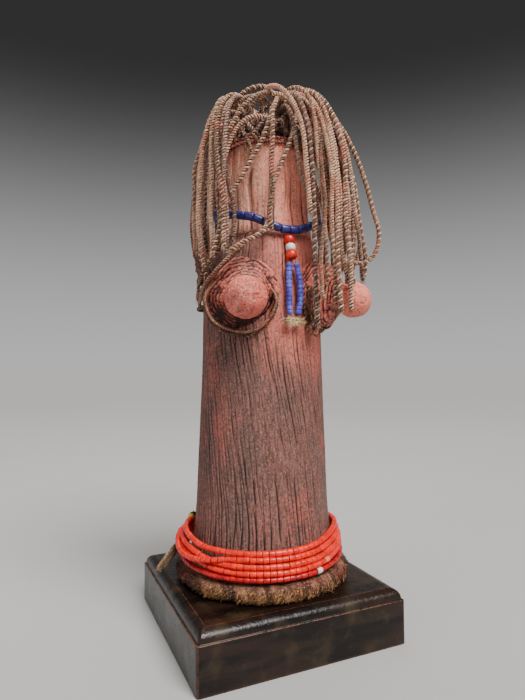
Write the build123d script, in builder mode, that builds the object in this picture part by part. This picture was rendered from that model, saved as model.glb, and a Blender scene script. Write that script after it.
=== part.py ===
"""A fertility doll of wood, bark, hide, cord and beads, standing on a turned-edge plinth.

Millimetres, +Z up. The origin is the middle of the plinth's underside, and the doll faces -Y.
A place on the doll is often given as (azimuth, reach, height): azimuth is in degrees from the
front, growing towards +X, and reach is the distance from an upright axis.
"""

import os
from math import acos, cos, degrees, pi, radians, sin, tan

from build123d import *

os.makedirs("parts", exist_ok=True)

# Plinth
plinth_width = 115.0
block_height = 23.0
cap_height = 5.3
cap_inset = 1.0
cap_round = 4.9
plinth_corner = 1.5
plinth_top = block_height + cap_height

# Pin between plinth and doll
bore_radius = 3.0
pin_radius = 2.95
pin_in_plinth = 20.0
pin_in_doll = 40.0
bore_end_gap = 0.4

# Body: reach and height down the outside of the bark cover
doll_foot = plinth_top + 0.1
cover_profile = [
    (44.0, doll_foot),
    (42.6, 38.6),
    (41.0, 46.0),
    (39.5, 55.0),
    (38.6, 65.0),
    (37.1, 105.0),
    (35.6, 150.0),
    (34.7, 185.0),
    (33.8, 200.0),
    (32.2, 210.0),
    (29.6, 218.0),
    (26.5, 224.0),
]
shoulder_height = 224.0
cover_thickness = 2.5
glue_gap = 0.1

# Head, a little to one side of the body's axis
head_x = 3.0
head_y = -1.3
head_radius = 25.5
head_height = 276.0
head_cover_thickness = 2.0
flute_count = 17
flute_radius = 3.4
flute_depth = 0.8

# Crown, where the hair is tied in
crown_radius = 17.5
crown_height = 284.0
crown_round = 4.0

# Lashing round the rim of the head
lashing_radius = 0.8
lashing_heights = (271.6, 274.3)

# Foot rim of cut fibre
rim_reach = 44.0
rim_half_width = 6.2
rim_half_height = 4.0

# Breasts
breast_root_reach = 36.0
breast_root_depth = 11.0
breast_skirt_radius = 18.6
ring_offset = 5.6
ring_cord_radius = 1.5

# Beads
string_thread_radius = 0.35
waist_bead_radius = 1.62
waist_bead_length = 3.2
waist_bead_bore = 0.7
bead_gap = 0.05
waist_reaches = (46.4, 46.2, 45.8, 45.2, 43.9)
waist_lowest = 40.2
waist_pitch = 3.35
white_bead_place = 69
tie_bead_azimuth = -127.0
tie_bead_reach = 44.4
tie_bead_height = 55.4
tie_bead_length = 3.2
tail_azimuth = -106.0
tail_width = 4.6
tail_thickness = 1.0
tail_profile = [(50.4, 43.0), (53.5, 39.4), (57.0, 35.2), (61.0, 30.4)]
collar_bead_radius = 2.45
collar_bead_length = 4.6
collar_bead_bore = 0.9
collar_thread_radius = 0.5
collar_reach = 31.0
collar_tilt = 16.0
collar_front_height = 221.5
collar_y = -3.0

# Pendant: a stem of three round beads, then two strings of short beads
pendant_x = 2.5
stem_top = (-33.2, 218.7)
stem_end = (-37.0, 204.2)
string_end = (-38.3, 174.6)
string_bead_radius = 1.72
string_bead_bore = 0.55
string_bead_count = 12

# Hair
cord_diameter = 2.7
lace_diameter = 1.3


def upright_point(azimuth, reach, height, axis_x=0.0, axis_y=0.0):
    """The point at this azimuth, reach and height round an upright axis."""
    turn = radians(azimuth)
    return Vector(axis_x + reach * sin(turn), axis_y - reach * cos(turn), height)


def write(block, label):
    """Label a finished piece and write it as a STEP file of the same name."""
    block.part.label = label
    export_step(block.part, f"parts/{label}.step")


def bend_radii(points):
    """The arc at each corner of a route: 0.45 of its shorter run over the tangent of half its turn."""
    radii = []
    for before, corner, after in zip(points, points[1:], points[2:]):
        inward = corner - before
        outward = after - corner
        turn = acos(inward.normalized().dot(outward.normalized()))
        radii.append(0.45 * min(inward.length, outward.length) / tan(turn / 2))
    return radii


def cord_tube(points, diameter, label):
    """A plain tube along straight runs joined by tangent arcs, written as its own node."""
    radii = bend_radii(points)
    with BuildPart() as tube:
        with BuildLine() as path:
            FilletPolyline(*points, radius=radii)
        route = path.wire()
        with BuildSketch(Plane(origin=route @ 0, z_dir=route % 0)):
            Circle(diameter / 2)
        sweep(path=route)
    share = tube.part.volume / (pi * diameter**2 / 4 * route.length)
    print(f"{label}: length {route.length:.0f}, radii {min(radii):.1f} up, volume share {share:.3f}")
    write(tube, label)


# ---------------------------------------------------------------- plinth and pin

with BuildPart() as plinth:
    with BuildSketch():
        RectangleRounded(plinth_width, plinth_width, plinth_corner)
    extrude(amount=block_height)
    with BuildSketch(Plane.XY.offset(block_height)):
        RectangleRounded(plinth_width - 2 * cap_inset, plinth_width - 2 * cap_inset, plinth_corner)
    extrude(amount=cap_height)
    fillet(plinth.faces().sort_by(Axis.Z)[-1].edges(), radius=cap_round)
    with Locations((0, 0, plinth_top)):
        Hole(radius=bore_radius, depth=pin_in_plinth)
write(plinth, "plinth")

with BuildPart() as mounting_pin:
    with BuildSketch(Plane.XY.offset(plinth_top - pin_in_plinth + bore_end_gap)):
        Circle(pin_radius)
    extrude(amount=pin_in_plinth + pin_in_doll - 2 * bore_end_gap)
    chamfer(mounting_pin.edges(), length=0.6)
write(mounting_pin, "mounting_pin")

# ---------------------------------------------------------------- body and head


def half_section(inset):
    """Half the body's upright section, the given distance inside the bark cover's outside."""
    outline = [(reach - inset, height) for reach, height in cover_profile]
    with BuildSketch(Plane.XZ) as half:
        with BuildLine():
            Spline(*outline)
            Polyline(outline[-1], (0, shoulder_height), (0, doll_foot), outline[0])
        make_face()
    return half.sketch


with BuildPart() as body_outside:
    revolve(half_section(inset=0), axis=Axis.Z)

with BuildPart() as body_core:
    revolve(half_section(inset=cover_thickness + glue_gap), axis=Axis.Z)
    with BuildSketch(Plane.XY.offset(shoulder_height)):
        with Locations((head_x, head_y)):
            Circle(head_radius - head_cover_thickness - glue_gap)
    extrude(amount=head_height - shoulder_height)
    with BuildSketch(Plane.XY.offset(doll_foot)):
        Circle(bore_radius)
    extrude(amount=pin_in_doll, mode=Mode.SUBTRACT)
write(body_core, "body_core")

with BuildPart() as bark_cover:
    revolve(half_section(inset=0), axis=Axis.Z)
    revolve(half_section(inset=cover_thickness), axis=Axis.Z, mode=Mode.SUBTRACT)
write(bark_cover, "bark_cover")

with BuildPart() as head_cover:
    with BuildSketch(Plane.XY.offset(shoulder_height)):
        with Locations((head_x, head_y)):
            Circle(head_radius)
            with PolarLocations(head_radius + flute_radius - flute_depth, flute_count):
                Circle(flute_radius, mode=Mode.SUBTRACT)
            Circle(head_radius - head_cover_thickness, mode=Mode.SUBTRACT)
    extrude(amount=head_height - shoulder_height)
write(head_cover, "head_cover")

with BuildPart() as foot_rim:
    with BuildSketch(Plane.XZ):
        with Locations((rim_reach, doll_foot + rim_half_height)):
            Ellipse(rim_half_width, rim_half_height)
    revolve(axis=Axis.Z)
    add(body_outside.part, mode=Mode.SUBTRACT)
write(foot_rim, "foot_rim")

with BuildPart() as crown_bundle:
    with BuildSketch(Plane.XY.offset(head_height)):
        with Locations((head_x, head_y)):
            Circle(crown_radius)
    extrude(amount=crown_height - head_height)
    fillet(crown_bundle.faces().sort_by(Axis.Z)[-1].edges(), radius=crown_round)
write(crown_bundle, "crown_bundle")

with BuildPart() as rim_lashing:
    with Locations(*[(head_x, head_y, height) for height in lashing_heights]):
        Torus(head_radius + lashing_radius + glue_gap, lashing_radius)
write(rim_lashing, "rim_lashing")

brow_lace_route = [
    (-46, 28.2, 276.5),
    (-44, 28.3, 273.0),
    (-41, 28.4, 270.0),
    (-40, 28.2, 266.5),
    (-43, 28.0, 263.8),
]
brow_lace_points = [upright_point(*place, head_x, head_y) for place in brow_lace_route]
cord_tube(brow_lace_points, lace_diameter, "brow_lace")

# ---------------------------------------------------------------- breasts and harness


def breast_frame(root, direction, droop):
    """A plane at the breast's root, its X running out along the breast, a little downwards."""
    level = upright_point(direction, cos(radians(droop)), 0)
    outward = Vector(level.X, level.Y, -sin(radians(droop)))
    sideways = Vector(-level.Y, level.X, 0)
    return Plane(origin=root, x_dir=outward, z_dir=sideways)


def make_breast(side, root, direction, droop, ball_place, ball_radius):
    """A stuffed hide breast with its ball end, cut to the body, and the cord tied round its root."""
    frame = breast_frame(root, direction, droop)
    along = Axis(frame.origin, frame.x_dir)
    with BuildPart() as breast:
        with BuildSketch(frame):
            with BuildLine():
                Polyline(
                    (ball_place, 0),
                    (-breast_root_depth, 0),
                    (-breast_root_depth, breast_skirt_radius),
                    (0, breast_skirt_radius),
                )
                Spline(
                    (0, breast_skirt_radius),
                    (0.45 * ball_place, 0.86 * breast_skirt_radius),
                    (ball_place, 0.5 * ball_radius),
                    tangents=((1, 0), (0.3, -1)),
                )
                Line((ball_place, 0.5 * ball_radius), (ball_place, 0))
            make_face()
        revolve(axis=along)
        with BuildSketch(frame):
            with Locations((ball_place, 0)):
                Circle(ball_radius)
                with Locations((0, -ball_radius / 2)):
                    Rectangle(2 * ball_radius, ball_radius, mode=Mode.SUBTRACT)
        revolve(axis=along)
        add(body_outside.part, mode=Mode.SUBTRACT)
    write(breast, f"breast_{side}")

    ring_place = frame.origin + frame.x_dir * ring_offset
    ring_reach = breast_skirt_radius + ring_cord_radius + glue_gap
    with BuildPart(Plane(origin=ring_place, z_dir=frame.x_dir)) as ring:
        Torus(ring_reach, ring_cord_radius)
    write(ring, f"breast_cord_{side}")


left_root = upright_point(-36, breast_root_reach, 183.0)
right_root = upright_point(42, breast_root_reach, 187.5)
make_breast("left", left_root, direction=-20.5, droop=7.5, ball_place=20.5, ball_radius=11.3)
make_breast("right", right_root, direction=36, droop=10, ball_place=21.5, ball_radius=9.8)

back_cord_radius = 1.3
back_cord_heights = (182.0, 189.0, 196.0)
back_cord_reach = 36.5
back_cord_start = 84.0
back_cord_turn = 194.0
with BuildPart() as back_cords:
    with BuildSketch(Plane.XZ.rotated((0, 0, back_cord_start - 90))):
        for height in back_cord_heights:
            with Locations((back_cord_reach, height)):
                Circle(back_cord_radius)
    revolve(axis=Axis.Z, revolution_arc=back_cord_turn)
write(back_cords, "back_cords")

with BuildPart() as hide_wad:
    with Locations(upright_point(-104, 38.9, 205.0)):
        Sphere(5.5)
write(hide_wad, "hide_wad")

# ---------------------------------------------------------------- beads


def bead(radius, length, bore):
    """A short tube bead along Y, centred on the origin."""
    with BuildPart(mode=Mode.PRIVATE) as made:
        Cylinder(radius, length, rotation=(90, 0, 0))
        Cylinder(bore, length, rotation=(90, 0, 0), mode=Mode.SUBTRACT)
    return made.part


def ring_of_beads(frame, reach, radius, length):
    """As many places as beads of this size fit round a ring, a hair apart at its inner side."""
    count = int(2 * pi * (reach - radius) / (length + bead_gap))
    with BuildPart(frame, mode=Mode.PRIVATE):
        return PolarLocations(reach, count).locations


waist_bead = bead(waist_bead_radius, waist_bead_length, waist_bead_bore)
for row, reach in enumerate(waist_reaches):
    level = Plane.XY.offset(waist_lowest + row * waist_pitch)
    places = ring_of_beads(level, reach, waist_bead_radius, waist_bead_length)
    if row == 0:
        with BuildPart() as white_bead:
            with Locations(places.pop(white_bead_place)):
                add(waist_bead)
        write(white_bead, "white_bead")
    with BuildPart() as strand:
        with Locations(*places):
            add(waist_bead)
    write(strand, f"waist_strand_{row + 1}")

for name, azimuth in (("yellow_bead", tie_bead_azimuth), ("blue_bead", tie_bead_azimuth - 5.5)):
    with BuildPart() as tie_bead:
        with BuildSketch(Plane(upright_point(azimuth, tie_bead_reach, tie_bead_height))):
            Circle(waist_bead_radius)
            Circle(waist_bead_bore, mode=Mode.SUBTRACT)
        extrude(amount=tie_bead_length)
    write(tie_bead, name)

with BuildPart() as waist_thread:
    for row, reach in enumerate(waist_reaches):
        with Locations((0, 0, waist_lowest + row * waist_pitch)):
            Torus(reach, string_thread_radius)
write(waist_thread, "waist_thread")

# The flat fibre end of the waist strands, lying out over the plinth's edge.
with BuildPart() as tail_strip:
    with BuildSketch(Plane.XZ.rotated((0, 0, tail_azimuth - 90))):
        with BuildLine():
            Polyline(*tail_profile, *[(reach, height + tail_thickness) for reach, height in tail_profile[::-1]],
                     close=True)
        make_face()
    extrude(amount=tail_width / 2, both=True)
write(tail_strip, "tail_strip")

# The collar hangs from the nape, its front lower than its back.
collar_middle = Vector(head_x, collar_y, collar_front_height + collar_reach * sin(radians(collar_tilt)))
collar_frame = Plane(origin=collar_middle, x_dir=(1, 0, 0), z_dir=(0, -sin(radians(collar_tilt)), 1))
collar_bead = bead(collar_bead_radius, collar_bead_length, collar_bead_bore)
collar_places = ring_of_beads(collar_frame, collar_reach, collar_bead_radius, collar_bead_length)
with BuildPart() as collar_beads:
    with Locations(*collar_places):
        add(collar_bead)
write(collar_beads, "collar_beads")

with BuildPart(collar_frame) as collar_thread:
    Torus(collar_reach, collar_thread_radius)
write(collar_thread, "collar_thread")

# ---------------------------------------------------------------- pendant

stem_start_point = Vector(pendant_x, *stem_top)
stem_end_point = Vector(pendant_x, *stem_end)
stem_direction = (stem_end_point - stem_start_point).normalized()
stem_frame = Plane(origin=stem_start_point, x_dir=(1, 0, 0), z_dir=stem_direction)
stem_bead_radii = {"pendant_red_beads": ((2.6, 2.9), (11.8, 3.1)), "pendant_white_bead": ((7.2, 2.75),)}
stem_bead_length = 4.3
for name, places in stem_bead_radii.items():
    with BuildPart(stem_frame) as stem_beads:
        for distance, radius in places:
            with Locations((0, 0, distance)):
                Cylinder(radius, stem_bead_length)
        fillet(stem_beads.edges(), radius=1.2)
        Cylinder(string_bead_bore, 60, mode=Mode.SUBTRACT)
    write(stem_beads, name)

with BuildPart(stem_frame) as pendant_thread:
    with Locations((0, 0, 7.1)):
        Cylinder(string_thread_radius, 14.2)
write(pendant_thread, "pendant_thread")

string_top = stem_end_point + stem_direction * 0.6
string_drop = Vector(pendant_x, *string_end) - string_top
string_knot_radius = 2.2


def make_string(side, sideways, bow):
    """A string of short beads that bows sideways, its thread, and the tied fibre at its end."""
    start = string_top + sideways * 1.95
    middle = string_top + string_drop / 2 + sideways * (1.95 + bow)
    finish = string_top + string_drop + sideways * 2.4
    hung = ThreePointArc(start, middle, finish)
    pitch = hung.length / (string_bead_count + 0.4)
    with BuildPart() as beads:
        for place in range(string_bead_count):
            at = (0.7 + place) * pitch / hung.length
            with BuildSketch(Plane(origin=hung @ at, z_dir=hung % at)):
                Circle(string_bead_radius)
                Circle(string_bead_bore, mode=Mode.SUBTRACT)
            extrude(amount=pitch / 2 - 0.06, both=True)
    write(beads, f"string_beads_{side}")

    with BuildPart() as thread:
        with BuildSketch(Plane(origin=hung @ 0, z_dir=hung % 0)):
            Circle(string_thread_radius)
        sweep(path=hung)
    write(thread, f"string_thread_{side}")

    knot_place = finish + string_drop.normalized() * (string_knot_radius + 0.4)
    with BuildPart() as knot:
        with Locations(knot_place):
            Sphere(string_knot_radius)
    write(knot, f"fibre_knot_{side}")


make_string("left", sideways=Vector(-1, 0, 0), bow=0.5)
make_string("right", sideways=Vector(1, 0, 0), bow=2.3)

# ---------------------------------------------------------------- hair
# Each cord's route: azimuth, reach and height round the head's axis, from the crown to its end.

hair_routes = {
    "hair_left_1": [
        (-118, 8.5, 284), (-118, 8.8, 292), (-118, 13, 299.5), (-118, 21, 303.5), (-118, 29.5, 300),
        (-118, 36, 290), (-117, 41, 273), (-117, 44, 252), (-116, 44.5, 231), (-115, 43.5, 216),
    ],
    "hair_left_2": [
        (-104, 12, 284), (-104, 12.3, 291), (-104, 17, 297.5), (-104, 24.5, 300), (-103, 32, 296.5),
        (-102, 37, 286), (-100, 40, 268), (-99, 41.5, 246), (-97, 43, 224), (-96, 44.5, 207),
    ],
    "hair_left_3": [
        (-91, 8.5, 284), (-91, 9, 293), (-91, 14, 300.5), (-91, 22, 304), (-91, 30, 300.5),
        (-90, 37, 289.5), (-89, 41.5, 272), (-87, 44, 250), (-86, 45.5, 229), (-84, 46, 209),
        (-82, 47, 193),
    ],
    "hair_left_4": [
        (-82, 12, 284), (-82, 12.3, 291), (-81, 17, 297.5), (-80, 24.5, 300), (-79, 32, 296.5),
        (-78, 37, 286), (-77, 39.5, 268), (-77, 41, 246), (-76, 42.5, 225), (-74, 44.5, 207),
    ],
    "hair_left_5": [
        (-60, 12, 284), (-60, 12.3, 291), (-61, 17, 297.5), (-62, 24.5, 300), (-63, 32, 296),
        (-64, 37, 284), (-64, 39, 266), (-63, 40, 246), (-62, 41, 226), (-60, 43.5, 213),
    ],
    "hair_left_thick": [
        (-84, 5, 284), (-83, 5.5, 294), (-80, 10, 302.5), (-77, 18.5, 306.5), (-74, 28, 303),
        (-70, 36, 292), (-65, 41, 277), (-60, 44, 258), (-55, 45, 240), (-52, 46.5, 223),
        (-51, 50, 209),
    ],
    "hair_face_high": [
        (8, 10.5, 284), (7, 10.8, 290.5), (3, 14, 296.5), (-3, 20.5, 299.5), (-9, 27, 297),
        (-14, 31, 290), (-20, 31.5, 280), (-29, 31, 270), (-39, 30.8, 260), (-49, 31.5, 251),
        (-58, 34, 242), (-66, 37, 233),
    ],
    "hair_face_low": [
        (24, 12, 284), (24, 12.3, 290.5), (22, 16.5, 296.5), (18, 23.5, 298.5), (13, 30, 294.5),
        (8, 32.5, 286), (2, 32, 273), (-9, 31.5, 259), (-18, 32.5, 245), (-21, 36, 232),
        (-23, 39, 222), (-29, 43, 215), (-38, 47, 211), (-45, 51.5, 207),
    ],
    "hair_forelock": [
        (-20, 12, 284), (-20, 12.3, 289.5), (-21, 16.5, 293.5), (-23, 23, 293), (-28, 28.5, 288),
        (-36, 31, 282.5), (-47, 32, 279.5), (-58, 33, 274.5), (-66, 34, 266), (-70, 35, 254),
        (-71, 36, 241),
    ],
    "hair_right_outer": [
        (72, 5, 284), (71, 5.6, 294), (66, 12, 303.5), (61, 22, 308.5), (58, 34, 304.5),
        (57, 46, 289), (57, 55, 270), (57, 60, 252), (56, 64, 238), (55, 67, 225),
        (53, 65.5, 211), (49, 56, 205), (43, 47.5, 206.5),
    ],
    "hair_right_1": [
        (70, 8.5, 284), (70, 9, 293), (70, 14.5, 300.5), (70, 23, 304), (69, 32, 300.5),
        (68, 40, 289), (67, 47, 272), (66, 52, 253), (65, 54, 233), (65, 53, 213), (67, 50, 197),
    ],
    "hair_right_2": [
        (59, 10.8, 284), (59, 11.2, 291), (58, 15.5, 297), (57, 23, 300), (57, 31.5, 296.5),
        (57, 39, 286), (57, 45, 269), (57, 49, 250), (57, 50, 230), (58, 49.5, 211), (59, 48, 196),
    ],
    "hair_right_3": [
        (43, 8.5, 284), (43, 9, 293), (44, 14.5, 301), (44, 23.5, 304.5), (44, 33, 300.5),
        (44, 41, 288), (44, 47.5, 271), (44, 51.5, 252), (43, 53, 233), (42, 53, 218),
    ],
    "hair_right_4": [
        (30, 5, 284), (30, 5.6, 294.5), (32, 12, 304), (33, 21.5, 309), (34, 33, 305.5),
        (34, 42.5, 293), (33, 49.5, 275), (32, 53, 256), (30, 54.5, 236), (27, 56, 217),
        (25, 58, 199), (24, 58.5, 182),
    ],
    "hair_right_5": [
        (38, 12.2, 284), (38, 12.5, 291), (38, 17, 297.5), (38, 25, 300), (38, 32.5, 296),
        (37, 38, 285), (36, 41.5, 267), (35, 43.5, 247), (34, 45, 228), (33, 45, 213),
    ],
    "hair_right_6": [
        (23, 8, 284), (23, 8.6, 293), (25, 14.5, 301), (26, 23.5, 304.5), (27, 33, 300.5),
        (26, 40, 288.5), (25, 45, 271), (24, 48, 252), (22, 49.5, 232), (20, 51, 213),
        (19, 53, 195), (19, 53.5, 179),
    ],
    "hair_right_7": [
        (-3, 7.8, 284), (-2, 8.4, 293), (3, 14.5, 300.5), (8, 23, 303.5), (11, 31.5, 299),
        (12, 37.5, 287), (12, 41, 269), (12, 43, 250), (12, 44, 231), (11, 44.8, 213),
        (10.5, 45.8, 195), (11, 46, 176),
    ],
    "hair_front": [
        (-24, 4.8, 284), (-22, 5.5, 294.5), (-14, 12, 303), (-8, 21, 307.5), (-3, 31, 303.5),
        (0, 39, 292), (2, 43.5, 274), (3, 45.5, 256), (3, 46.5, 240), (2, 46.5, 228),
    ],
    "hair_back_1": [
        (90, 8.5, 284), (90, 9, 293), (90, 14.5, 300.5), (90, 23, 304), (90, 31.5, 300),
        (90, 38, 288), (89, 42.5, 270), (88, 45, 250), (88, 46, 229), (88, 46, 209), (90, 46, 191),
    ],
    "hair_back_2": [
        (120, 5, 284), (120, 5.6, 294), (118, 12, 302.5), (116, 21, 307), (115, 30.5, 303),
        (114, 38.5, 291), (113, 43.5, 273), (112, 46, 253), (112, 46.5, 232), (113, 46, 212),
        (114, 46, 194),
    ],
    "hair_back_3": [
        (141, 12, 284), (141, 12.4, 291), (140, 17, 298), (140, 24.5, 301), (140, 32, 297.5),
        (139, 37.5, 286), (138, 41, 269), (138, 42.5, 249), (137, 43, 229), (138, 43.5, 209),
        (140, 44, 190),
    ],
    "hair_back_4": [
        (164, 8.5, 284), (164, 9, 293), (164, 14.5, 300.5), (165, 23, 303.5), (165, 31.5, 299),
        (166, 38, 287), (166, 42, 269), (167, 44, 249), (166, 45, 229), (165, 45, 210),
        (163, 45.5, 193),
    ],
    "hair_back_5": [
        (190, 5, 284), (190, 5.6, 294), (190, 11.5, 302.5), (190, 20.5, 306.5), (191, 30, 302.5),
        (191, 38, 290.5), (192, 43, 273), (192, 45.5, 253), (193, 46, 233), (194, 45.5, 214),
        (194, 45, 199),
    ],
    "hair_back_6": [
        (216, 12, 284), (216, 12.4, 291), (216, 17, 298), (216, 24.5, 300.5), (216, 32, 297),
        (216, 37.5, 286), (217, 41, 269), (218, 42.5, 249), (218, 43.5, 228), (217, 44, 209),
        (215, 44.5, 192),
    ],
}
for label, route in hair_routes.items():
    cord_tube([upright_point(*place, head_x, head_y) for place in route], cord_diameter, label)
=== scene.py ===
"""The looks of a fertility doll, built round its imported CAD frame.

Metres, +Z up, and the doll faces -Y. Lengths in the tables are millimetres. A place round an
upright axis is (azimuth, reach, height): azimuth in degrees from the front, growing towards +X.
"""

import math
import random

import bmesh
import bpy
import numpy as np
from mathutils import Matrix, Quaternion, Vector, noise


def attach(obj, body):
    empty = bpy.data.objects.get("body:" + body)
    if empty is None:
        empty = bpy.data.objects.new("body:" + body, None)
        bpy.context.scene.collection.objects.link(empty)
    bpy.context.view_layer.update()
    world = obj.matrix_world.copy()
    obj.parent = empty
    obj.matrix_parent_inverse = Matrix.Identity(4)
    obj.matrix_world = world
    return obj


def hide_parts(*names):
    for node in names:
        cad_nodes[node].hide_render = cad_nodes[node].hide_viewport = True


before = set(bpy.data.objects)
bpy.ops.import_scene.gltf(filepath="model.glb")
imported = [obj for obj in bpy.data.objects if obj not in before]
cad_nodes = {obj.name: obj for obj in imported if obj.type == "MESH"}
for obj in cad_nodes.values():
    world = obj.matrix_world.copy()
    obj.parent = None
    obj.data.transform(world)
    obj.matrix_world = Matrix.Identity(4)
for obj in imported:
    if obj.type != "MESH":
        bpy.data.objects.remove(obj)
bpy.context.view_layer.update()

MM = 0.001
HEAD_AXIS = (3.0, -1.3)
DRAW_SEED = 7
NOISE_SEED = 1794904566
draw = random.Random(DRAW_SEED)
# Without a seed, noise_vector takes its offset from the clock, and the hair changes from run to run.
noise.seed_set(NOISE_SEED)


def new_object(name, data):
    """An object in the scene that shows this mesh, curve, lamp or camera."""
    made = bpy.data.objects.new(name, data)
    bpy.context.scene.collection.objects.link(made)
    return made


# ---------------------------------------------------------------- camera

CAMERA_PLACE = Vector((-0.12679, -0.28651, 0.14609))
CAMERA_AIM = Vector((0.00115, 0.0, 0.15744))
CAMERA_ROLL = math.radians(-0.4)
camera_data = bpy.data.cameras.new("camera")
camera_data.sensor_width = 36.0
camera_data.lens = 27.05
camera_data.clip_start = 0.01
camera = new_object("camera", camera_data)
camera.location = CAMERA_PLACE
track = (CAMERA_AIM - CAMERA_PLACE).to_track_quat("-Z", "Y")
camera.rotation_euler = (track @ Quaternion((0, 0, 1), CAMERA_ROLL)).to_euler()
bpy.context.scene.camera = camera

# ---------------------------------------------------------------- shapes


def upright_point(azimuth, reach, height, axis=(0.0, 0.0)):
    """The point, in metres, at this azimuth, reach and height round an upright axis."""
    turn = math.radians(azimuth)
    return np.array((axis[0] + reach * math.sin(turn), axis[1] - reach * math.cos(turn), height)) * MM


def directions(azimuth):
    """The unit vectors outwards and sideways at this azimuth."""
    return upright_point(azimuth, 1, 0) / MM, upright_point(azimuth + 90, 1, 0) / MM


def circle(count):
    """This many even angles round a circle, in radians."""
    return np.linspace(0, 2 * math.pi, count, endpoint=False)


def random_vector():
    """Three draws from -1 to 1."""
    return np.array([draw.uniform(-1, 1) for _ in range(3)])


def rise(value, low, high):
    """0 below low, 1 above high, and a smooth climb between."""
    t = np.clip((np.asarray(value, float) - low) / (high - low), 0, 1)
    return t * t * (3 - 2 * t)


def smooth_line(keys, values, at):
    """Values at the places asked for, on a smooth line through the keyed ones."""
    keys, values, at = (np.asarray(x, float) for x in (keys, values, at))
    slopes = np.gradient(values, keys)
    k = np.clip(np.searchsorted(keys, at) - 1, 0, len(keys) - 2)
    gap = keys[k + 1] - keys[k]
    t = np.clip((at - keys[k]) / gap, 0, 1)
    ease = t * t * (3 - 2 * t)
    start_pull = t * (1 - t) ** 2 * gap * slopes[k]
    end_pull = t * t * (1 - t) * gap * slopes[k + 1]
    return values[k] * (1 - ease) + values[k + 1] * ease + start_pull - end_pull


def grain(points, scale, seed):
    """Noise from about -1 to 1 at each point; scale is cycles per metre along x, y and z."""
    flat = np.reshape(points, (-1, 3)) * np.asarray(scale, float) + seed
    got = [noise.noise(Vector(p)) for p in flat]
    return np.reshape(got, np.shape(points)[:-1])


class Shape:
    """Rings of points gathered into one mesh, with a groove value and a strand place at each."""

    def __init__(self):
        """An empty shape."""
        self.points, self.faces, self.grooves, self.strands = [], [], [], []
        self.count = 0

    def add(self, rings, groove=0.5, strand=None, loop=False):
        """Rings (n, m, 3) joined by quads; the end rings are closed, or joined to each other."""
        rings = np.asarray(rings, float)
        n, m = rings.shape[:2]
        ids = self.count + np.arange(n * m).reshape(n, m)
        lower = ids if loop else ids[:-1]
        upper = np.roll(ids, -1, 0) if loop else ids[1:]
        quads = np.stack([lower, np.roll(lower, -1, 1), np.roll(upper, -1, 1), upper], -1)
        self.faces.extend(quads.reshape(-1, 4).tolist())
        if not loop:
            self.faces += [ids[0, ::-1].tolist(), ids[-1].tolist()]
        self.points.append(rings.reshape(-1, 3))
        self.grooves.append(np.broadcast_to(groove, (n, m)).reshape(-1))
        place = rings * 1000 if strand is None else strand
        self.strands.append(np.broadcast_to(place, (n, m, 3)).reshape(-1, 3))
        self.count += n * m

    def make(self, name, material, body, slot, *replaced):
        """The finished piece, riding on its body and standing for the CAD nodes it replaces."""
        mesh = bpy.data.meshes.new(name)
        mesh.from_pydata(np.concatenate(self.points).tolist(), [], self.faces)
        work = bmesh.new()
        work.from_mesh(mesh)
        bmesh.ops.recalc_face_normals(work, faces=work.faces)
        work.to_mesh(mesh)
        work.free()
        # groove is painted shade for most looks, darker where it is low, and real wear on the plinth,
        # where high means worn.
        groove = mesh.attributes.new("groove", "FLOAT", "POINT")
        groove.data.foreach_set("value", np.concatenate(self.grooves).astype(np.float32))
        strand = mesh.attributes.new("strand", "FLOAT_VECTOR", "POINT")
        strand.data.foreach_set("vector", np.concatenate(self.strands).astype(np.float32).ravel())
        mesh.shade_smooth()
        mesh.materials.append(material)
        piece = new_object(name, mesh)
        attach(piece, body)
        if replaced:
            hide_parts(*replaced)
        return piece


def unit(vectors):
    """The vectors at length 1."""
    return vectors / np.linalg.norm(vectors, axis=-1, keepdims=True)


def points_at(at, along, points):
    """The points at these lengths along a line; along is the length at each of its points."""
    return np.stack([np.interp(at, along, points[:, i]) for i in range(3)], -1)


def even_points(points, step):
    """Points about a step apart along the line through the given ones, and their lengths along it."""
    points = np.asarray(points, float)
    along = np.concatenate([[0], np.cumsum(np.linalg.norm(np.diff(points, axis=0), axis=1))])
    at = np.linspace(0, along[-1], max(int(along[-1] / step), 4) + 1)
    return points_at(at, along, points), at


def carried_frames(points):
    """Two unit normals at each point of a line, carried with the least twist, and its tangents."""
    tangents = unit(np.gradient(points, axis=0))
    helper = (0, 0, 1) if abs(tangents[0][2]) < 0.9 else (1, 0, 0)
    side = np.cross(tangents[0], helper)
    sides = []
    for tangent in tangents:
        side = side - tangent * np.dot(side, tangent)
        side = side / np.linalg.norm(side)
        sides.append(side)
    sides = np.array(sides)
    return sides, np.cross(tangents, sides), tangents


def spline_points(route):
    """Points read from the NURBS spline that has this route's points as its control points."""
    curve = bpy.data.curves.new("guide", "CURVE")
    curve.dimensions = "3D"
    curve.resolution_u = 12
    spline = curve.splines.new("NURBS")
    spline.points.add(len(route) - 1)
    for point, place in zip(spline.points, route):
        point.co = (*place, 1.0)
    spline.order_u = 3
    spline.use_endpoint_u = True
    guide = new_object("guide", curve)
    mesh = bpy.data.meshes.new_from_object(guide)
    points = np.array([v.co for v in mesh.vertices])
    bpy.data.meshes.remove(mesh)
    bpy.data.objects.remove(guide)
    bpy.data.curves.remove(curve)
    return points


def ellipses(first, second, angle, wide=1.0, high=1.0):
    """At each point of a line, an ellipse with its half-axes along that point's two vectors."""
    across = first[:, None] * np.cos(angle)[None, :, None] * wide
    return across + second[:, None] * np.sin(angle)[None, :, None] * high


def add_tube(shape, points, radius, sides, groove=0.5):
    """A round tube along points already close together; radius may be one number or one a point."""
    sideways, upwards, _ = carried_frames(points)
    spread = np.broadcast_to(radius, len(points))[:, None, None]
    shape.add(points[:, None] + ellipses(sideways, upwards, circle(sides)) * spread, groove)


FIBRE_TAPER = np.array([1, 1, 0.95, 0.85, 0.7, 0.4])
FIBRE_STEPS = len(FIBRE_TAPER) - 1


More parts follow.
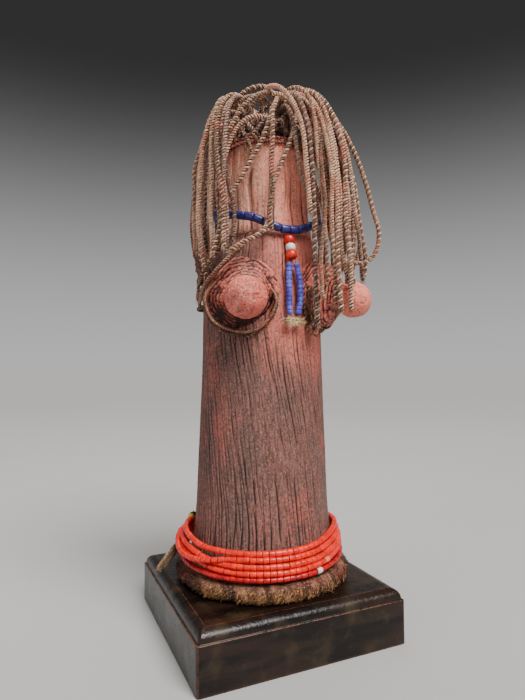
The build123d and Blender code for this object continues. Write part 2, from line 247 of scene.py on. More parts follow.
def add_fibre(shape, start, direction, length, radius, curl, groove=0.8):
    """A short bent fibre that thins towards its tip."""
    points = [np.asarray(start, float)]
    heading = unit(np.asarray(direction, float))
    bend = random_vector() * curl
    for _ in range(FIBRE_STEPS):
        points.append(points[-1] + heading * length / FIBRE_STEPS)
        heading = unit(heading + bend / FIBRE_STEPS)
    add_tube(shape, np.array(points), radius * FIBRE_TAPER, 4, groove)


def noise_along(along, scale, seed, layer):
    """Noise at each length along a cord; scale is cycles per metre."""
    return np.array([noise.noise(Vector((a * scale, seed, layer))) for a in along])


# Sizes of one ply, as shares of the cord's radius: half its depth, half its width, and its offset.
PLY_DEPTH, PLY_WIDTH, PLY_OFFSET = 0.54, 0.74, 0.46
PLIES = 2
FRAY_FIBRES = 9
# The strand place that the cord looks read: the plies lie PLY_APART units apart, 5 mm of cord is 1.
PLY_APART = 5
STRAND_UNITS = 1000 / 5


def add_twist(shape, points, radius, lay, *, fuzz, sides=8, fray=0.0, step=0.0005):
    """Two plies laid round each other along a line, with fuzz stray fibres and, if asked, a frayed end."""
    path, along = even_points(points, step)
    sideways, upwards, tangents = carried_frames(path)
    start = draw.uniform(0, 2 * math.pi)
    seed = draw.uniform(0, 50)
    swell = 1 + 0.09 * noise_along(along, 260, seed, 0)
    wind = np.cumsum(1 + 0.22 * noise_along(along, 90, seed, 9))
    wind = wind * (along[-1] / len(along)) / lay
    left = along[-1] - along
    thin = 0.35 + 0.65 * rise(left, -0.0002, 0.0022)
    size = (radius * swell * thin)[:, None, None]
    spread = (1 + fray * (1 - rise(left, 0, 0.006)))[:, None]
    angle = circle(sides)
    for ply in range(PLIES):
        turn = start + 2 * math.pi * (wind + ply / PLIES)
        outward = np.cos(turn)[:, None] * sideways + np.sin(turn)[:, None] * upwards
        around = -np.sin(turn)[:, None] * sideways + np.cos(turn)[:, None] * upwards
        centre = path + outward * size[:, 0] * PLY_OFFSET * spread
        ring = centre[:, None] + size * ellipses(outward, around, angle, PLY_DEPTH, PLY_WIDTH)
        # Painted shade between the plies: the groove value falls to 0 on the side of each ply that faces
        # the other.
        groove = np.broadcast_to(0.5 + 0.5 * np.cos(angle), ring.shape[:2])
        places = (np.cos(angle) + ply * PLY_APART + seed, np.sin(angle), (along * STRAND_UNITS)[:, None])
        place = np.stack([np.broadcast_to(each, ring.shape[:2]) for each in places], -1)
        shape.add(ring, groove, place)
    for _ in range(fuzz):
        k = draw.randrange(3, len(path) - 3)
        lean = unit(random_vector())
        lean = unit(lean - tangents[k] * np.dot(lean, tangents[k]))
        heading = tangents[k] * draw.choice((-1, 1)) + lean * draw.uniform(0.4, 1.1)
        begin = path[k] + lean * radius * 0.7
        add_fibre(shape, begin, heading, draw.uniform(0.8, 2.2) * MM, 0.07 * MM, 0.9)
    if fray:
        for _ in range(FRAY_FIBRES):
            lean = random_vector() * 0.45
            begin = path[-3] + lean * radius * 1.1
            add_fibre(shape, begin, tangents[-1] + lean, draw.uniform(1.6, 3.4) * MM, 0.11 * MM, 0.5)
    return path


# ---------------------------------------------------------------- materials


def srgb(red, green, blue):
    """A colour given in 0 to 255, as linear light with full alpha."""
    parts = [c / 255 for c in (red, green, blue)]
    return (*[c / 12.92 if c <= 0.04045 else ((c + 0.055) / 1.055) ** 2.4 for c in parts], 1.0)


class Look:
    """A material and short ways to add the nodes that make up its colour, roughness and bump."""

    def __init__(self, name, **sockets):
        """A new material; sockets are the shader's own, with _ for each space."""
        self.material = bpy.data.materials.new(name)
        self.material.use_nodes = True
        self.tree = self.material.node_tree
        self.shader = self.tree.nodes["Principled BSDF"]
        for socket, value in sockets.items():
            self.shader.inputs[socket.replace("_", " ")].default_value = value
        self.object_place = self.node("ShaderNodeTexCoord").outputs["Object"]

    def node(self, kind, inputs=(), **settings):
        """A node with its settings and inputs; an input is a value or the socket it comes from."""
        made = self.tree.nodes.new(kind)
        for key, value in settings.items():
            setattr(made, key, value)
        for key, value in dict(inputs).items():
            if isinstance(value, bpy.types.NodeSocket):
                self.tree.links.new(value, made.inputs[key])
            else:
                made.inputs[key].default_value = value
        return made

    def kept(self, name):
        """A value kept at each point of the mesh, such as groove or strand."""
        found = self.node("ShaderNodeAttribute", attribute_name=name)
        return found.outputs["Vector" if name == "strand" else "Fac"]

    def scaled(self, source, scale):
        """A place with each axis multiplied by its own scale."""
        return self.node("ShaderNodeVectorMath", {0: source, 1: scale}, operation="MULTIPLY").outputs[0]

    def noise(self, scale, source=None, detail=3.0, rough=0.55, warp=0.0):
        """Noise; scale is one number, or one for each axis."""
        place = self.object_place if source is None else source
        if isinstance(scale, tuple):
            place, scale = self.scaled(place, scale), 1.0
        inputs = {
            "Vector": place, "Scale": scale, "Detail": detail, "Roughness": rough, "Distortion": warp,
        }
        return self.node("ShaderNodeTexNoise", inputs).outputs["Fac"]

    def span(self, value, low, high, to_low=0.0, to_high=1.0):
        """A value from low to high, turned smoothly into one from to_low to to_high."""
        inputs = {0: value, 1: low, 2: high, 3: to_low, 4: to_high}
        return self.node("ShaderNodeMapRange", inputs, interpolation_type="SMOOTHSTEP").outputs[0]

    def math(self, operation, a, b):
        """The sum or the product of two values."""
        return self.node("ShaderNodeMath", {0: a, 1: b}, operation=operation).outputs[0]

    def mix(self, share, a, b):
        """Colour a where share is 0 and colour b where it is 1."""
        inputs = {0: share, 6: a, 7: b}
        return self.node("ShaderNodeMix", inputs, data_type="RGBA").outputs[2]

    def axis(self, name):
        """The object's own X, Y or Z, in metres."""
        return self.node("ShaderNodeSeparateXYZ", {0: self.object_place}).outputs[name]

    def bump(self, height, depth):
        """The normal of a surface raised by height times depth, in metres."""
        inputs = {"Height": height, "Distance": depth, "Strength": 1.0}
        return self.node("ShaderNodeBump", inputs).outputs["Normal"]

    def finish(self, colour, roughness=None, normal=None):
        """The material, with these wired to its shader."""
        for socket, value in (("Base Color", colour), ("Roughness", roughness), ("Normal", normal)):
            if value is not None:
                self.tree.links.new(value, self.shader.inputs[socket])
        return self.material


def cord_look(name, dark, middle, light, tint):
    """Twisted plant fibre: each cord its own tone, streaked and flecked, with painted shade between the
    plies and in its dents.
    """
    look = Look(name, Specular_IOR_Level=0.2)
    strand = look.kept("strand")
    groove = look.kept("groove")
    streak = look.noise((1.6, 1.6, 2.4), strand, detail=4.0)
    tone = look.noise((0.16, 0.0, 0.03), strand, detail=1.0)
    patch = look.noise(70.0, detail=3.0)
    fleck = look.noise(820.0, detail=3.0, rough=0.7)
    body = look.mix(look.span(streak, 0.34, 0.64), srgb(*middle), srgb(*light))
    shaded = [c * 0.56 for c in middle]
    # Paler flecks scattered over the cord.
    pale_fleck_colour = [min(255, c + 34) for c in light]
    body = look.mix(look.span(tone, 0.44, 0.58, 0.0, 0.85), body, srgb(*shaded))
    body = look.mix(look.span(patch, 0.5, 0.66, 0.0, 0.6), body, srgb(*tint))
    body = look.mix(look.span(fleck, 0.36, 0.5, 0.55, 0.0), body, srgb(*dark))
    body = look.mix(look.span(fleck, 0.56, 0.68, 0.0, 0.75), body, srgb(*pale_fleck_colour))
    # Painted shade: where the groove value is low, between the plies and in dents, the colour goes to
    # dark.
    colour = look.mix(look.span(groove, 0.0, 0.6), srgb(*dark), body)
    fibre = look.noise((5.0, 5.0, 3.0), strand, detail=5.0)
    height = look.math("ADD", fibre, look.math("MULTIPLY", fleck, 0.6))
    return look.finish(colour, look.span(streak, 0.3, 0.7, 0.65, 0.88), look.bump(height, 0.00028))


# Where the body turns a lighter pink at its top right, part ochre and part painted light on the lamp's
# side: from and to, in metres.
LIT_OCHRE_HEIGHTS = (0.132, 0.172)
LIT_OCHRE_SIDES = (-0.026, 0.006)
LIT_OCHRE_SHARE = 0.24
LIT_TOP_OCHRE = (242, 143, 124)


def hide_look(name, groove_dark, low, high, red, grey, red_from, speckle, streaks):
    """Ochred hide or bark: painted shade in its creases, mauve to brown ground, ragged red ochre, a gritty
    dust, and a top right that turns a lighter pink, part ochre and part painted light.
    """
    look = Look(name, Specular_IOR_Level=0.3)
    groove = look.kept("groove")
    vertical = look.noise(streaks, detail=4.0, rough=0.65)
    patch = look.noise((44.0, 44.0, 22.0), detail=6.0, rough=0.75, warp=0.3)
    other = look.noise((60.0, 60.0, 26.0), detail=3.0)
    grit = look.noise(760.0, detail=3.0, rough=0.75)
    dust = look.noise((1150.0, 1150.0, 950.0), detail=2.0, rough=0.7)
    upper = look.span(look.axis("Z"), *LIT_OCHRE_HEIGHTS, 0.0, LIT_OCHRE_SHARE)
    # Part ochre, part painted light: the top right, on the lamp's side, turns a lighter pink.
    lit_top_right = look.math("MULTIPLY", upper, look.span(look.axis("X"), *LIT_OCHRE_SIDES))
    redness = look.math("ADD", look.math("ADD", patch, lit_top_right), look.math("MULTIPLY", grit, 0.4))
    ground = look.mix(look.span(vertical, 0.36, 0.64), srgb(*low), srgb(*high))
    ground = look.mix(look.span(other, 0.48, 0.64, 0.0, 0.6), ground, srgb(*grey))
    dull, pale = [c * 1.3 for c in groove_dark], [min(255, c + 50) for c in high]
    reddened = look.span(redness, red_from + 0.2, red_from + 0.46, 0.0, 0.75)
    ground = look.mix(reddened, ground, srgb(*red))
    ground = look.mix(look.math("MULTIPLY", lit_top_right, 2.2), ground, srgb(*LIT_TOP_OCHRE))
    ground = look.mix(look.span(grit, 0.34, 0.5, 0.7, 0.0), ground, srgb(*dull))
    # Painted shade: where the groove value is low, in creases, folds and dents, the colour goes to
    # groove_dark.
    colour = look.mix(look.span(groove, 0.1, 0.66), srgb(*groove_dark), ground)
    gritty = look.span(dust, 0.52, 0.66)
    dusty = look.math("MULTIPLY", gritty, look.span(groove, 0.35, 0.85, 0.0, speckle))
    colour = look.mix(dusty, colour, srgb(*pale))
    height = look.math("ADD", vertical, look.math("MULTIPLY", grit, 0.8))
    return look.finish(colour, look.span(grit, 0.35, 0.7, 0.5, 0.8), look.bump(height, 0.00045))


def glass_look(name, shade, deep):
    """Old opaque bead glass: slightly uneven colour, painted shade at its ends and in its bore, tiny pits
    and a soft gloss.
    """
    look = Look(name, Specular_IOR_Level=0.5)
    tone = look.noise(240.0, detail=2.0)
    pits = look.noise(1800.0, detail=3.0)
    colour = look.mix(look.span(tone, 0.35, 0.66), srgb(*deep), srgb(*shade))
    # Painted shade at the ends and in the bore, where the groove value is low.
    groove = look.kept("groove")
    colour = look.mix(look.span(groove, 0.0, 0.45), srgb(*[c * 0.28 for c in deep]), colour)
    return look.finish(colour, look.span(pits, 0.35, 0.7, 0.22, 0.44), look.bump(pits, 0.00006))


hair_material = cord_look(
    "hair_cord", (52, 29, 22), (190, 138, 113), (248, 205, 176), (208, 126, 104)
)
dark_hair_material = cord_look(
    "dark_hair_cord", (34, 21, 17), (142, 108, 94), (208, 172, 152), (152, 104, 88)
)

bark_material = hide_look(
    "ochred_bark", (32, 18, 15), (96, 64, 57), (130, 88, 79), (184, 90, 77), (88, 71, 66),
    red_from=0.5, speckle=0.42, streaks=(800.0, 800.0, 130.0),
)
face_material = hide_look(
    "ochred_face", (80, 48, 38), (200, 130, 107), (246, 184, 157), (236, 126, 101), (178, 139, 121),
    red_from=0.56, speckle=0.4, streaks=(620.0, 620.0, 34.0),
)
breast_material = hide_look(
    "ochred_hide", (46, 23, 19), (166, 84, 72), (218, 130, 114), (228, 94, 76), (146, 92, 82),
    red_from=0.42, speckle=0.55, streaks=(260.0, 260.0, 260.0),
)
wrap_material = cord_look("wrap_cord", (36, 21, 17), (140, 98, 80), (204, 156, 128), (158, 90, 72))
lashing_material = cord_look("lashing_cord", (60, 24, 20), (160, 84, 72), (212, 136, 118), (188, 84, 70))
rim_material = cord_look("rim_fibre", (34, 18, 14), (98, 62, 50), (150, 104, 82), (122, 58, 48))
rim_straw_material = cord_look("rim_straw", (64, 38, 23), (132, 88, 55), (186, 139, 93), (118, 69, 46))
straw_material = cord_look(
    "straw_fibre", (176, 132, 88), (236, 202, 152), (255, 240, 204), (232, 186, 132)
)
tail_material = cord_look("tail_fibre", (62, 44, 32), (132, 104, 80), (182, 154, 124), (116, 86, 66))
# Near black all through: painted shade for the hollow top of the head.
crown_shade_material = cord_look("crown_fibre", (4, 2, 2), (14, 9, 7), (20, 12, 10), (20, 11, 9))
thread_material = cord_look("thread", (40, 30, 26), (120, 100, 84), (170, 150, 128), (120, 96, 80))
orange_glass = glass_look("orange_glass", (238, 31, 3), (202, 18, 2))
crimson_glass = glass_look("crimson_glass", (196, 0, 10), (146, 0, 6))
coral_glass = glass_look("coral_glass", (244, 140, 92), (224, 112, 70))
white_glass = glass_look("white_glass", (244, 236, 224), (214, 204, 190))
yellow_glass = glass_look("yellow_glass", (222, 196, 40), (176, 146, 20))
dark_blue_glass = glass_look("dark_blue_glass", (34, 30, 78), (20, 18, 48))
blue_glass = glass_look("collar_blue_glass", (46, 44, 124), (26, 24, 78))
string_blue_glass = glass_look("string_blue_glass", (106, 105, 210), (62, 60, 162))


def lacquer_look():
    """Black-brown polished wood, browner at its worn arrises, with mottled stain and orange peel."""
    look = Look("lacquered_wood", Specular_IOR_Level=0.28, Coat_Weight=0.12, Coat_Roughness=0.2)
    wear = look.kept("groove")
    figure = look.noise((14.0, 120.0, 120.0), detail=4.0, warp=0.4)
    mottle = look.noise(70.0, detail=4.0)
    breakup = look.noise(330.0, detail=4.0, rough=0.65)
    peel = look.noise(900.0, detail=3.0)
    wood = look.mix(look.span(figure, 0.4, 0.64), srgb(13, 8, 7), srgb(36, 23, 17))
    wood = look.mix(look.span(mottle, 0.48, 0.7, 0.0, 0.6), wood, srgb(60, 48, 30))
    worn = look.math("MULTIPLY", wear, look.span(breakup, 0.36, 0.56))
    colour = look.mix(worn, wood, srgb(112, 72, 54))
    height = look.math("ADD", peel, look.math("MULTIPLY", look.noise(90.0, detail=2.0), 2.0))
    return look.finish(colour, look.span(mottle, 0.3, 0.7, 0.22, 0.36), look.bump(height, 0.0002))


def steel_look():
    """Plain turned steel with fine rings and a little tarnish."""
    look = Look("turned_steel", Metallic=1.0)
    ring = look.noise((60.0, 60.0, 3000.0), detail=2.0)
    tarnish = look.noise(160.0, detail=3.0)
    colour = look.mix(look.span(tarnish, 0.4, 0.7), srgb(150, 150, 152), srgb(104, 98, 92))
    return look.finish(colour, look.span(ring, 0.3, 0.7, 0.28, 0.5), look.bump(ring, 0.00005))


def core_look():
    """The dry, grainy wood inside the cover."""
    look = Look("core_wood", Specular_IOR_Level=0.3)
    rings = look.noise((260.0, 260.0, 12.0), detail=4.0, warp=0.5)
    colour = look.mix(look.span(rings, 0.35, 0.65), srgb(70, 46, 32), srgb(122, 88, 62))
    return look.finish(colour, look.span(rings, 0.3, 0.7, 0.6, 0.8), look.bump(rings, 0.0003))


def give_look(node, material):
    """Puts the material in every slot of a CAD node that stays."""
    for held in cad_nodes[node].material_slots:
        held.material = material


lacquer = lacquer_look()
give_look("mounting_pin", steel_look())
give_look("body_core", core_look())

# ---------------------------------------------------------------- hair

hair_routes = {
    "hair_left_1": [
        (-118, 8.5, 284), (-118, 8.8, 292), (-118, 13, 299.5), (-118, 21, 303.5), (-118, 29.5, 300),
        (-118, 36, 290), (-117, 41, 273), (-117, 44, 252), (-116, 44.5, 231), (-115, 43.5, 216),
    ],
    "hair_left_2": [
        (-104, 12, 284), (-104, 12.3, 291), (-104, 17, 297.5), (-104, 24.5, 300), (-103, 32, 296.5),
        (-102, 37, 286), (-100, 40, 268), (-99, 41.5, 246), (-97, 43, 224), (-96, 44.5, 207),
    ],
    "hair_left_3": [
        (-91, 8.5, 284), (-91, 9, 293), (-91, 14, 300.5), (-91, 22, 304), (-91, 30, 300.5),
        (-90, 37, 289.5), (-89, 41.5, 272), (-87, 44, 250), (-86, 45.5, 229), (-83, 46, 210),
        (-77, 46.5, 197),
    ],
    "hair_left_4": [
        (-82, 12, 284), (-82, 12.3, 291), (-81, 17, 297.5), (-80, 24.5, 300), (-79, 32, 296.5),
        (-78, 37, 286), (-77, 39.5, 268), (-77, 41, 246), (-76, 42.5, 225), (-74, 44.5, 207),
    ],
    "hair_left_5": [
        (-60, 12, 284), (-60, 12.3, 291), (-61, 17, 297.5), (-62, 24.5, 300), (-63, 32, 296),
        (-64, 37, 284), (-64, 39, 266), (-63, 40, 246), (-62, 41, 226), (-60, 43.5, 213),
    ],
    "hair_left_thick": [
        (-84, 5, 284), (-83, 5.5, 294), (-80, 10, 302.5), (-77, 18.5, 306.5), (-74, 28, 303),
        (-70, 36, 292), (-65, 41, 277), (-60, 44, 258), (-55, 45, 240), (-52, 46.5, 223),
        (-51, 50, 209),
    ],
    "hair_face_high": [
        (8, 10.5, 284), (7, 10.8, 290.5), (3, 14, 296.5), (-3, 20.5, 299.5), (-9, 27, 297),
        (-14, 31, 290), (-20, 31.5, 280), (-29, 31, 270), (-39, 30.8, 260), (-49, 31.5, 251),
        (-58, 34, 242), (-66, 37, 233),
    ],
    "hair_face_low": [
        (24, 12, 284), (24, 12.3, 290.5), (22, 16.5, 296.5), (18, 23.5, 298.5), (13, 30, 294.5),
        (8, 32.5, 286), (2, 32, 273), (-9, 31.5, 259), (-18, 32.5, 245), (-21, 36, 232),
        (-23, 39, 222), (-29, 43, 215), (-38, 47, 211), (-45, 51.5, 207),
    ],
    "hair_forelock": [
        (-20, 12, 284), (-20, 12.5, 288.5), (-18, 17, 289), (-18, 23, 286.5), (-22, 27.5, 284.5),
        (-34, 30.4, 284.5), (-47, 31.4, 282.5), (-58, 32.5, 277), (-66, 34, 267), (-70, 35, 254),
        (-71, 36, 241),
    ],
    "hair_right_outer": [
        (72, 5, 284), (71, 5.6, 294), (66, 12, 303.5), (61, 22, 308.5), (58, 34, 304.5),
        (57, 46, 289), (57, 55, 270), (57, 60, 252), (56, 64, 238), (55, 67, 225), (53, 65.5, 211),
        (49, 56, 205), (43, 47.5, 206.5),
    ],
    "hair_right_1": [
        (70, 8.5, 284), (70, 9, 293), (70, 14.5, 300.5), (70, 23, 304), (69, 32, 300.5),
        (68, 40, 289), (67, 47, 272), (66, 52, 253), (65, 54, 233), (65, 53, 213), (67, 50, 197),
    ],
    "hair_right_2": [
        (59, 10.8, 284), (59, 11.2, 291), (58, 15.5, 297), (57, 23, 300), (57, 31.5, 296.5),
        (57, 39, 286), (57, 45, 269), (57, 49, 250), (57, 50, 230), (58, 49.5, 211), (59, 48, 196),
    ],
    "hair_right_3": [
        (43, 8.5, 284), (43, 9, 293), (44, 14.5, 301), (44, 23.5, 304.5), (44, 33, 300.5),
        (44, 41, 288), (44, 47.5, 271), (44, 51.5, 252), (43, 53, 233), (42, 53, 218),
    ],
    "hair_right_4": [
        (30, 5, 284), (30, 5.6, 294.5), (32, 12, 304), (33, 21.5, 309), (34, 33, 305.5),
        (34, 42.5, 293), (33, 49.5, 275), (32, 53, 256), (30, 54.5, 236), (27, 56, 217),
        (25, 58, 199), (24.5, 58.8, 176),
    ],
    "hair_right_5": [
        (38, 12.2, 284), (38, 12.5, 291), (38, 17, 297.5), (38, 25, 300), (38, 32.5, 296),
        (37, 38, 285), (36, 41.5, 267), (35, 43.5, 247), (34, 45, 228), (33, 45, 213),
    ],
    "hair_right_6": [
        (23, 8, 284), (23, 8.6, 293), (25, 14.5, 301), (26, 23.5, 304.5), (27, 33, 300.5),
        (26, 40, 288.5), (25, 45, 271), (24, 48, 252), (22, 49.5, 232), (20, 51, 213),
        (19, 53, 195), (19, 53.5, 179),
    ],
    "hair_right_7": [
        (-3, 7.8, 284), (-2, 8.4, 293), (3, 14.5, 300.5), (8, 23, 303.5), (11, 31.5, 299),
        (12, 37.5, 287), (12, 41, 269), (12, 43, 250), (12, 44, 231), (11, 44.8, 213),
        (10.5, 45.8, 193), (11.5, 46.5, 169),
    ],
    "hair_front": [
        (-24, 4.8, 284), (-34, 6.5, 294.5), (-34, 12, 302.5), (-22, 19.5, 306.5), (-9, 28, 303.5),
        (1, 35.5, 293.5), (6, 40.5, 277), (8, 43, 258), (8, 44.5, 241), (7, 45, 229),
    ],
    "hair_back_1": [
        (90, 8.5, 284), (90, 9, 293), (90, 14.5, 300.5), (90, 23, 304), (90, 31.5, 300),
        (90, 38, 288), (89, 42.5, 270), (88, 45, 250), (88, 46, 229), (88, 46, 209), (90, 46, 191),
    ],
    "hair_back_2": [
        (120, 5, 284), (120, 5.6, 294), (118, 12, 302.5), (116, 21, 307), (115, 30.5, 303),
        (114, 38.5, 291), (113, 43.5, 273), (112, 46, 253), (112, 46.5, 232), (113, 46, 212),
        (114, 46, 194),
    ],
    "hair_back_3": [
        (141, 12, 284), (141, 12.4, 291), (140, 17, 298), (140, 24.5, 301), (140, 32, 297.5),
        (139, 37.5, 286), (138, 41, 269), (138, 42.5, 249), (137, 43, 229), (138, 43.5, 209),
        (140, 44, 190),
    ],
    "hair_back_4": [
        (164, 8.5, 284), (164, 9, 293), (164, 14.5, 300.5), (165, 23, 303.5), (165, 31.5, 299),
        (166, 38, 287), (166, 42, 269), (167, 44, 249), (166, 45, 229), (165, 45, 210),
        (163, 45.5, 193),
    ],
    "hair_back_5": [
        (190, 5, 284), (190, 5.6, 294), (190, 11.5, 302.5), (190, 20.5, 306.5), (191, 30, 302.5),
        (191, 38, 290.5), (192, 43, 273), (192, 45.5, 253), (193, 46, 233), (194, 45.5, 214),
        (194, 45, 199),
    ],
    "hair_back_6": [
        (216, 12, 284), (216, 12.4, 291), (216, 17, 298), (216, 24.5, 300.5), (216, 32, 297),
        (216, 37.5, 286), (217, 41, 269), (218, 42.5, 249), (218, 43.5, 228), (217, 44, 209),
        (215, 44.5, 192),
    ],
}

CORD_RADIUS = 1.4
CORD_GIVE = 2.4
DARK_CORDS = ("hair_right_7", "hair_right_3", "hair_back_2", "hair_back_5")
# On the left the hair lies closer: by LEFT_DRAW mm everywhere and LEFT_LOW_DRAW more low down.
LEFT_DRAW = 1.7
LEFT_LOW_DRAW = 3.2
FUZZ_PER_METRE = 160


def loosened(route, seed, give):
    """The route's points in metres, moved a little as soft cord lies, but not near the crown."""
    points = []
    for k, (azimuth, reach, height) in enumerate(route):
        free = float(rise(k, 3, 7)) * give * MM
        shift = noise.noise_vector(Vector((k * 0.62, seed * 3.7, 1.3)))
        leftward = float(rise(-math.sin(math.radians(azimuth)), 0.84, 0.97))
        low = float(rise(-height, -242, -208))
        drawn_in = leftward * (LEFT_DRAW * float(rise(k, 3, 6)) + LEFT_LOW_DRAW * low)
        place = upright_point(azimuth, reach - drawn_in, height, HEAD_AXIS)
        points.append(place + np.array(shift) * free)
    return points


def line_length(points):
    """The length of the line through the points, in metres."""
    return float(np.linalg.norm(np.diff(points, axis=0), axis=1).sum())


def hair_look(dark):
    """The darker of the two hair materials, or the lighter one."""
    return dark_hair_material if dark else hair_material


def lay_cord(
    name, route, seed, material, radius=CORD_RADIUS, stands_for=(), give=CORD_GIVE
):
    """One twisted hair cord on its route."""
    control = loosened(route, seed, give)
    line = spline_points(control)
    shape = Shape()
    lay = draw.uniform(2.9, 3.9) * radius / CORD_RADIUS * MM
    fuzz = int(line_length(line) * FUZZ_PER_METRE)
    path = add_twist(shape, line, radius * MM, lay, fray=0.5, fuzz=fuzz, step=0.0004)
    piece = shape.make(name, material, "doll_body", "hair_cord", *stands_for)


for order, (node, route) in enumerate(hair_routes.items()):
    lay_cord(f"{node}_twist", route, order, hair_look(node in DARK_CORDS), stands_for=(node,))


def beside(route, turn, out, drop, spread):
    """A neighbour's route, turned, moved outwards and lowered, more so further down."""
    moved = []
    for k, (azimuth, reach, height) in enumerate(route):
        share = k / (len(route) - 1)
        swing = turn * (0.7 + 0.3 * share) + spread * share * share
        lowered = height - drop * share * share + 0.8 * out * (share < 0.5)
        moved.append((azimuth + swing, reach + out * min(1, k / 4), lowered))
    return moved


# Cords that lie beside a CAD one: its name, then turn, move out, drop and spread.
NEIGHBOURS = [
    ("hair_right_1", -5, -2.0, 4, 3), ("hair_right_2", -5, 1.6, 2, 1),
    ("hair_right_2", 5, -2.4, -8, -2), ("hair_right_3", -5, -1.6, -2, 3),
    ("hair_right_3", 5, 1.4, -12, -3), ("hair_right_4", 5, -2.0, -8, 3),
    ("hair_right_4", -4, -3.4, 2, -3), ("hair_right_5", 5, 2.0, -8, 2),
    ("hair_right_6", 4.5, 1.6, -10, 4), ("hair_right_6", -5, -1.8, -2, -3),
    ("hair_right_1", 6, 3.0, -6, 0), ("hair_back_1", 8, 1.4, -6, 3),
    ("hair_back_2", -8, -1.6, 4, -2), ("hair_back_4", 8, 1.8, 6, 2),
    ("hair_back_5", 9, -1.4, -4, 3), ("hair_back_6", 8, 1.6, 4, -2),
    ("hair_left_1", -8, 1.2, 2, -3), ("hair_left_3", -5, -1.8, -6, 4),
    ("hair_left_4", 4, 1.8, -4, 6), ("hair_left_5", 6, 1.2, 2, 3),
    ("hair_left_thick", -5, -2.6, 4, -3), ("hair_right_5", -6, -0.6, 0, -2),
    ("hair_right_7", 5, 1.4, -22, 3), ("hair_back_1", -8, -1.8, 4, -3),
    ("hair_back_2", 10, 1.2, -8, 4), ("hair_back_3", 9, -1.4, 2, 3),
    ("hair_back_3", -9, 1.6, -4, -3), ("hair_back_4", -8, -1.6, 4, -3),
    ("hair_back_5", -9, 1.6, 6, -3), ("hair_back_6", -8, -1.4, -6, 3),
    ("hair_back_6", 10, -2.0, -16, 2), ("hair_back_1", 4, -3.4, -8, 2),
    ("hair_back_2", 4, 2.6, -4, -3), ("hair_back_3", 4, -3.0, 2, 4),
    ("hair_back_3", -4, 2.8, -8, 2), ("hair_back_4", 4, -3.2, -6, -4),
    ("hair_back_5", -4, 2.6, -2, 3), ("hair_back_5", 4, -3.4, 4, -2),
    ("hair_back_6", -3, 2.4, -8, -4),
]
